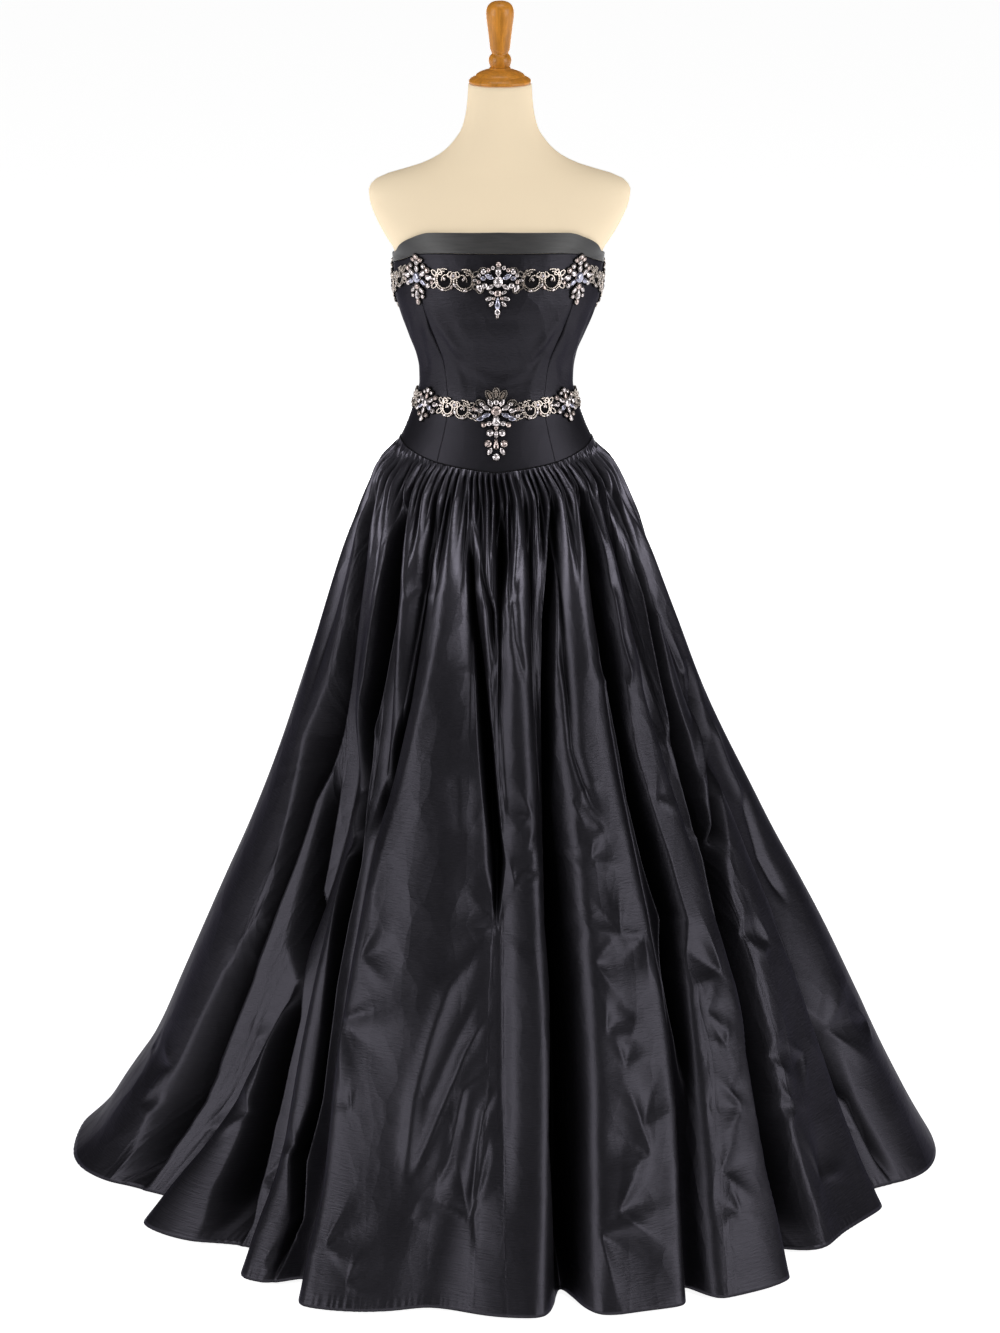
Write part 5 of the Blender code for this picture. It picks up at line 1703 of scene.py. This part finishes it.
# ---------------------------------------------------------------- the add-on
class GownColours(bpy.types.PropertyGroup):
    """Colours of the finishes."""
    taffeta: FloatVectorProperty(
        name="Taffeta", description="Base colour of the silk taffeta", subtype="COLOR", size=4,
        min=0.0, max=1.0, default=(0.0315, 0.0300, 0.0363, 1.0),
    )
    band: FloatVectorProperty(
        name="Top band", description="Colour of the ribbed band along the top edge", subtype="COLOR", size=4,
        min=0.0, max=1.0, default=(0.040, 0.039, 0.039, 1.0),
    )
    jersey: FloatVectorProperty(
        name="Form cover", description="Colour of the knitted cover of the form", subtype="COLOR", size=4,
        min=0.0, max=1.0, default=(0.96, 0.79, 0.56, 1.0),
    )
    wood: FloatVectorProperty(
        name="Turned wood", description="Colour of the varnished cap and handle", subtype="COLOR", size=4,
        min=0.0, max=1.0, default=(0.60, 0.235, 0.024, 1.0),
    )
    floor: FloatVectorProperty(
        name="Floor", description="Colour of the studio floor", subtype="COLOR", size=4,
        min=0.0, max=1.0, default=(0.95, 0.95, 0.95, 1.0),
    )


class GownSizes(bpy.types.PropertyGroup):
    """Sizes of the worked details."""
    cord: FloatProperty(
        name="Cord", description="Thickness of one strand of the trim's cords", unit="LENGTH",
        min=0.0004, max=0.003, default=0.0020,
    )
    piping: FloatProperty(
        name="Piping", description="Half thickness of the corded edges", unit="LENGTH",
        min=0.0003, max=0.003, default=0.0015,
    )
    facets: IntProperty(
        name="Facets", description="Sides of one cut stone", min=6, max=16, default=10,
    )


class GOWN_OT_form(bpy.types.Operator):
    """Build the padded torso in its knitted cover"""
    bl_idname = "gown.form"
    bl_label = "Padded form"

    def execute(self, context):
        build_form()
        return {"FINISHED"}


class GOWN_OT_wood(bpy.types.Operator):
    """Turn the wooden cap and handle"""
    bl_idname = "gown.wood"
    bl_label = "Turned cap and handle"

    def execute(self, context):
        turn_wood("wooden_cap", rounded(CAP_TURNING, WOOD_STEPS), CAP_BOTTOM, "form_cap")
        turn_wood("wooden_handle", rounded(HANDLE_TURNING, WOOD_STEPS), HANDLE_BOTTOM, "form_handle")
        return {"FINISHED"}


class GOWN_OT_stand(bpy.types.Operator):
    """Finish the pole and the base of the stand"""
    bl_idname = "gown.stand"
    bl_label = "Stand finish"

    def execute(self, context):
        for node in ("stand_pole", "stand_base"):
            for place in NODES[node].material_slots:
                place.material = finish_of("stand_metal")
        return {"FINISHED"}


class GOWN_OT_bodice(bpy.types.Operator):
    """Cut and fit the seven pieces of the bodice"""
    bl_idname = "gown.bodice"
    bl_label = "Bodice"

    def execute(self, context):
        build_bodice()
        return {"FINISHED"}


class GOWN_OT_basque(bpy.types.Operator):
    """Cut and fit the smooth basque below the waist"""
    bl_idname = "gown.basque"
    bl_label = "Basque"

    def execute(self, context):
        build_basque()
        # corded edge at the basque seam, whose near-black finish also paints the shadow line there
        piping("basque_piping_and_shadow_line", basque_seam, 0.0026, context.scene.gown_sizes.piping)
        return {"FINISHED"}


class GOWN_OT_band(bpy.types.Operator):
    """Fit the ribbed band along the top edge"""
    bl_idname = "gown.band"
    bl_label = "Top band"

    def execute(self, context):
        build_band()
        return {"FINISHED"}


class GOWN_OT_zip(bpy.types.Operator):
    """Finish the concealed zip down the centre back"""
    bl_idname = "gown.zip"
    bl_label = "Concealed zip"

    def execute(self, context):
        build_zip()
        return {"FINISHED"}


class GOWN_OT_skirt(bpy.types.Operator):
    """Hang the gathered skirt with its folds, creases and pinches"""
    bl_idname = "gown.skirt"
    bl_label = "Gathered skirt"

    def execute(self, context):
        build_skirt()
        return {"FINISHED"}


class GOWN_OT_trims(bpy.types.Operator):
    """Set the stones and cords of both jewelled trims"""
    bl_idname = "gown.trims"
    bl_label = "Jewelled trims"

    def execute(self, context):
        build_trims()
        return {"FINISHED"}


class GOWN_OT_stage(bpy.types.Operator):
    """Set up the floor, the soft lights and the camera"""
    bl_idname = "gown.stage"
    bl_label = "Studio"

    def execute(self, context):
        build_stage()
        return {"FINISHED"}


STEPS = (
    GOWN_OT_stage, GOWN_OT_form, GOWN_OT_wood, GOWN_OT_stand, GOWN_OT_bodice, GOWN_OT_basque, GOWN_OT_band,
    GOWN_OT_zip, GOWN_OT_skirt, GOWN_OT_trims,
)


class GOWN_PT_sidebar(bpy.types.Panel):
    """Lists the gown's sizes, colours and steps"""
    bl_idname = "GOWN_PT_sidebar"
    bl_label = "Ball gown"
    bl_space_type = "VIEW_3D"
    bl_region_type = "UI"
    bl_category = "Gown"

    def draw(self, context):
        column = self.layout.column(align=True)
        for group in (context.scene.gown_sizes, context.scene.gown_colours):
            for name in group.__annotations__:
                column.prop(group, name)
        for step in STEPS:
            column.operator(step.bl_idname)


CLASSES = (GownColours, GownSizes) + STEPS + (GOWN_PT_sidebar,)


def register():
    for kind in CLASSES:
        bpy.utils.register_class(kind)
    bpy.types.Scene.gown_colours = PointerProperty(type=GownColours)
    bpy.types.Scene.gown_sizes = PointerProperty(type=GownSizes)


def unregister():
    del bpy.types.Scene.gown_sizes
    del bpy.types.Scene.gown_colours
    for kind in reversed(CLASSES):
        bpy.utils.unregister_class(kind)


def main():
    register()
    for step in STEPS:
        group, name = step.bl_idname.split(".")
        getattr(getattr(bpy.ops, group), name)()
    bpy.context.view_layer.update()


if __name__ == "__main__":
    main()
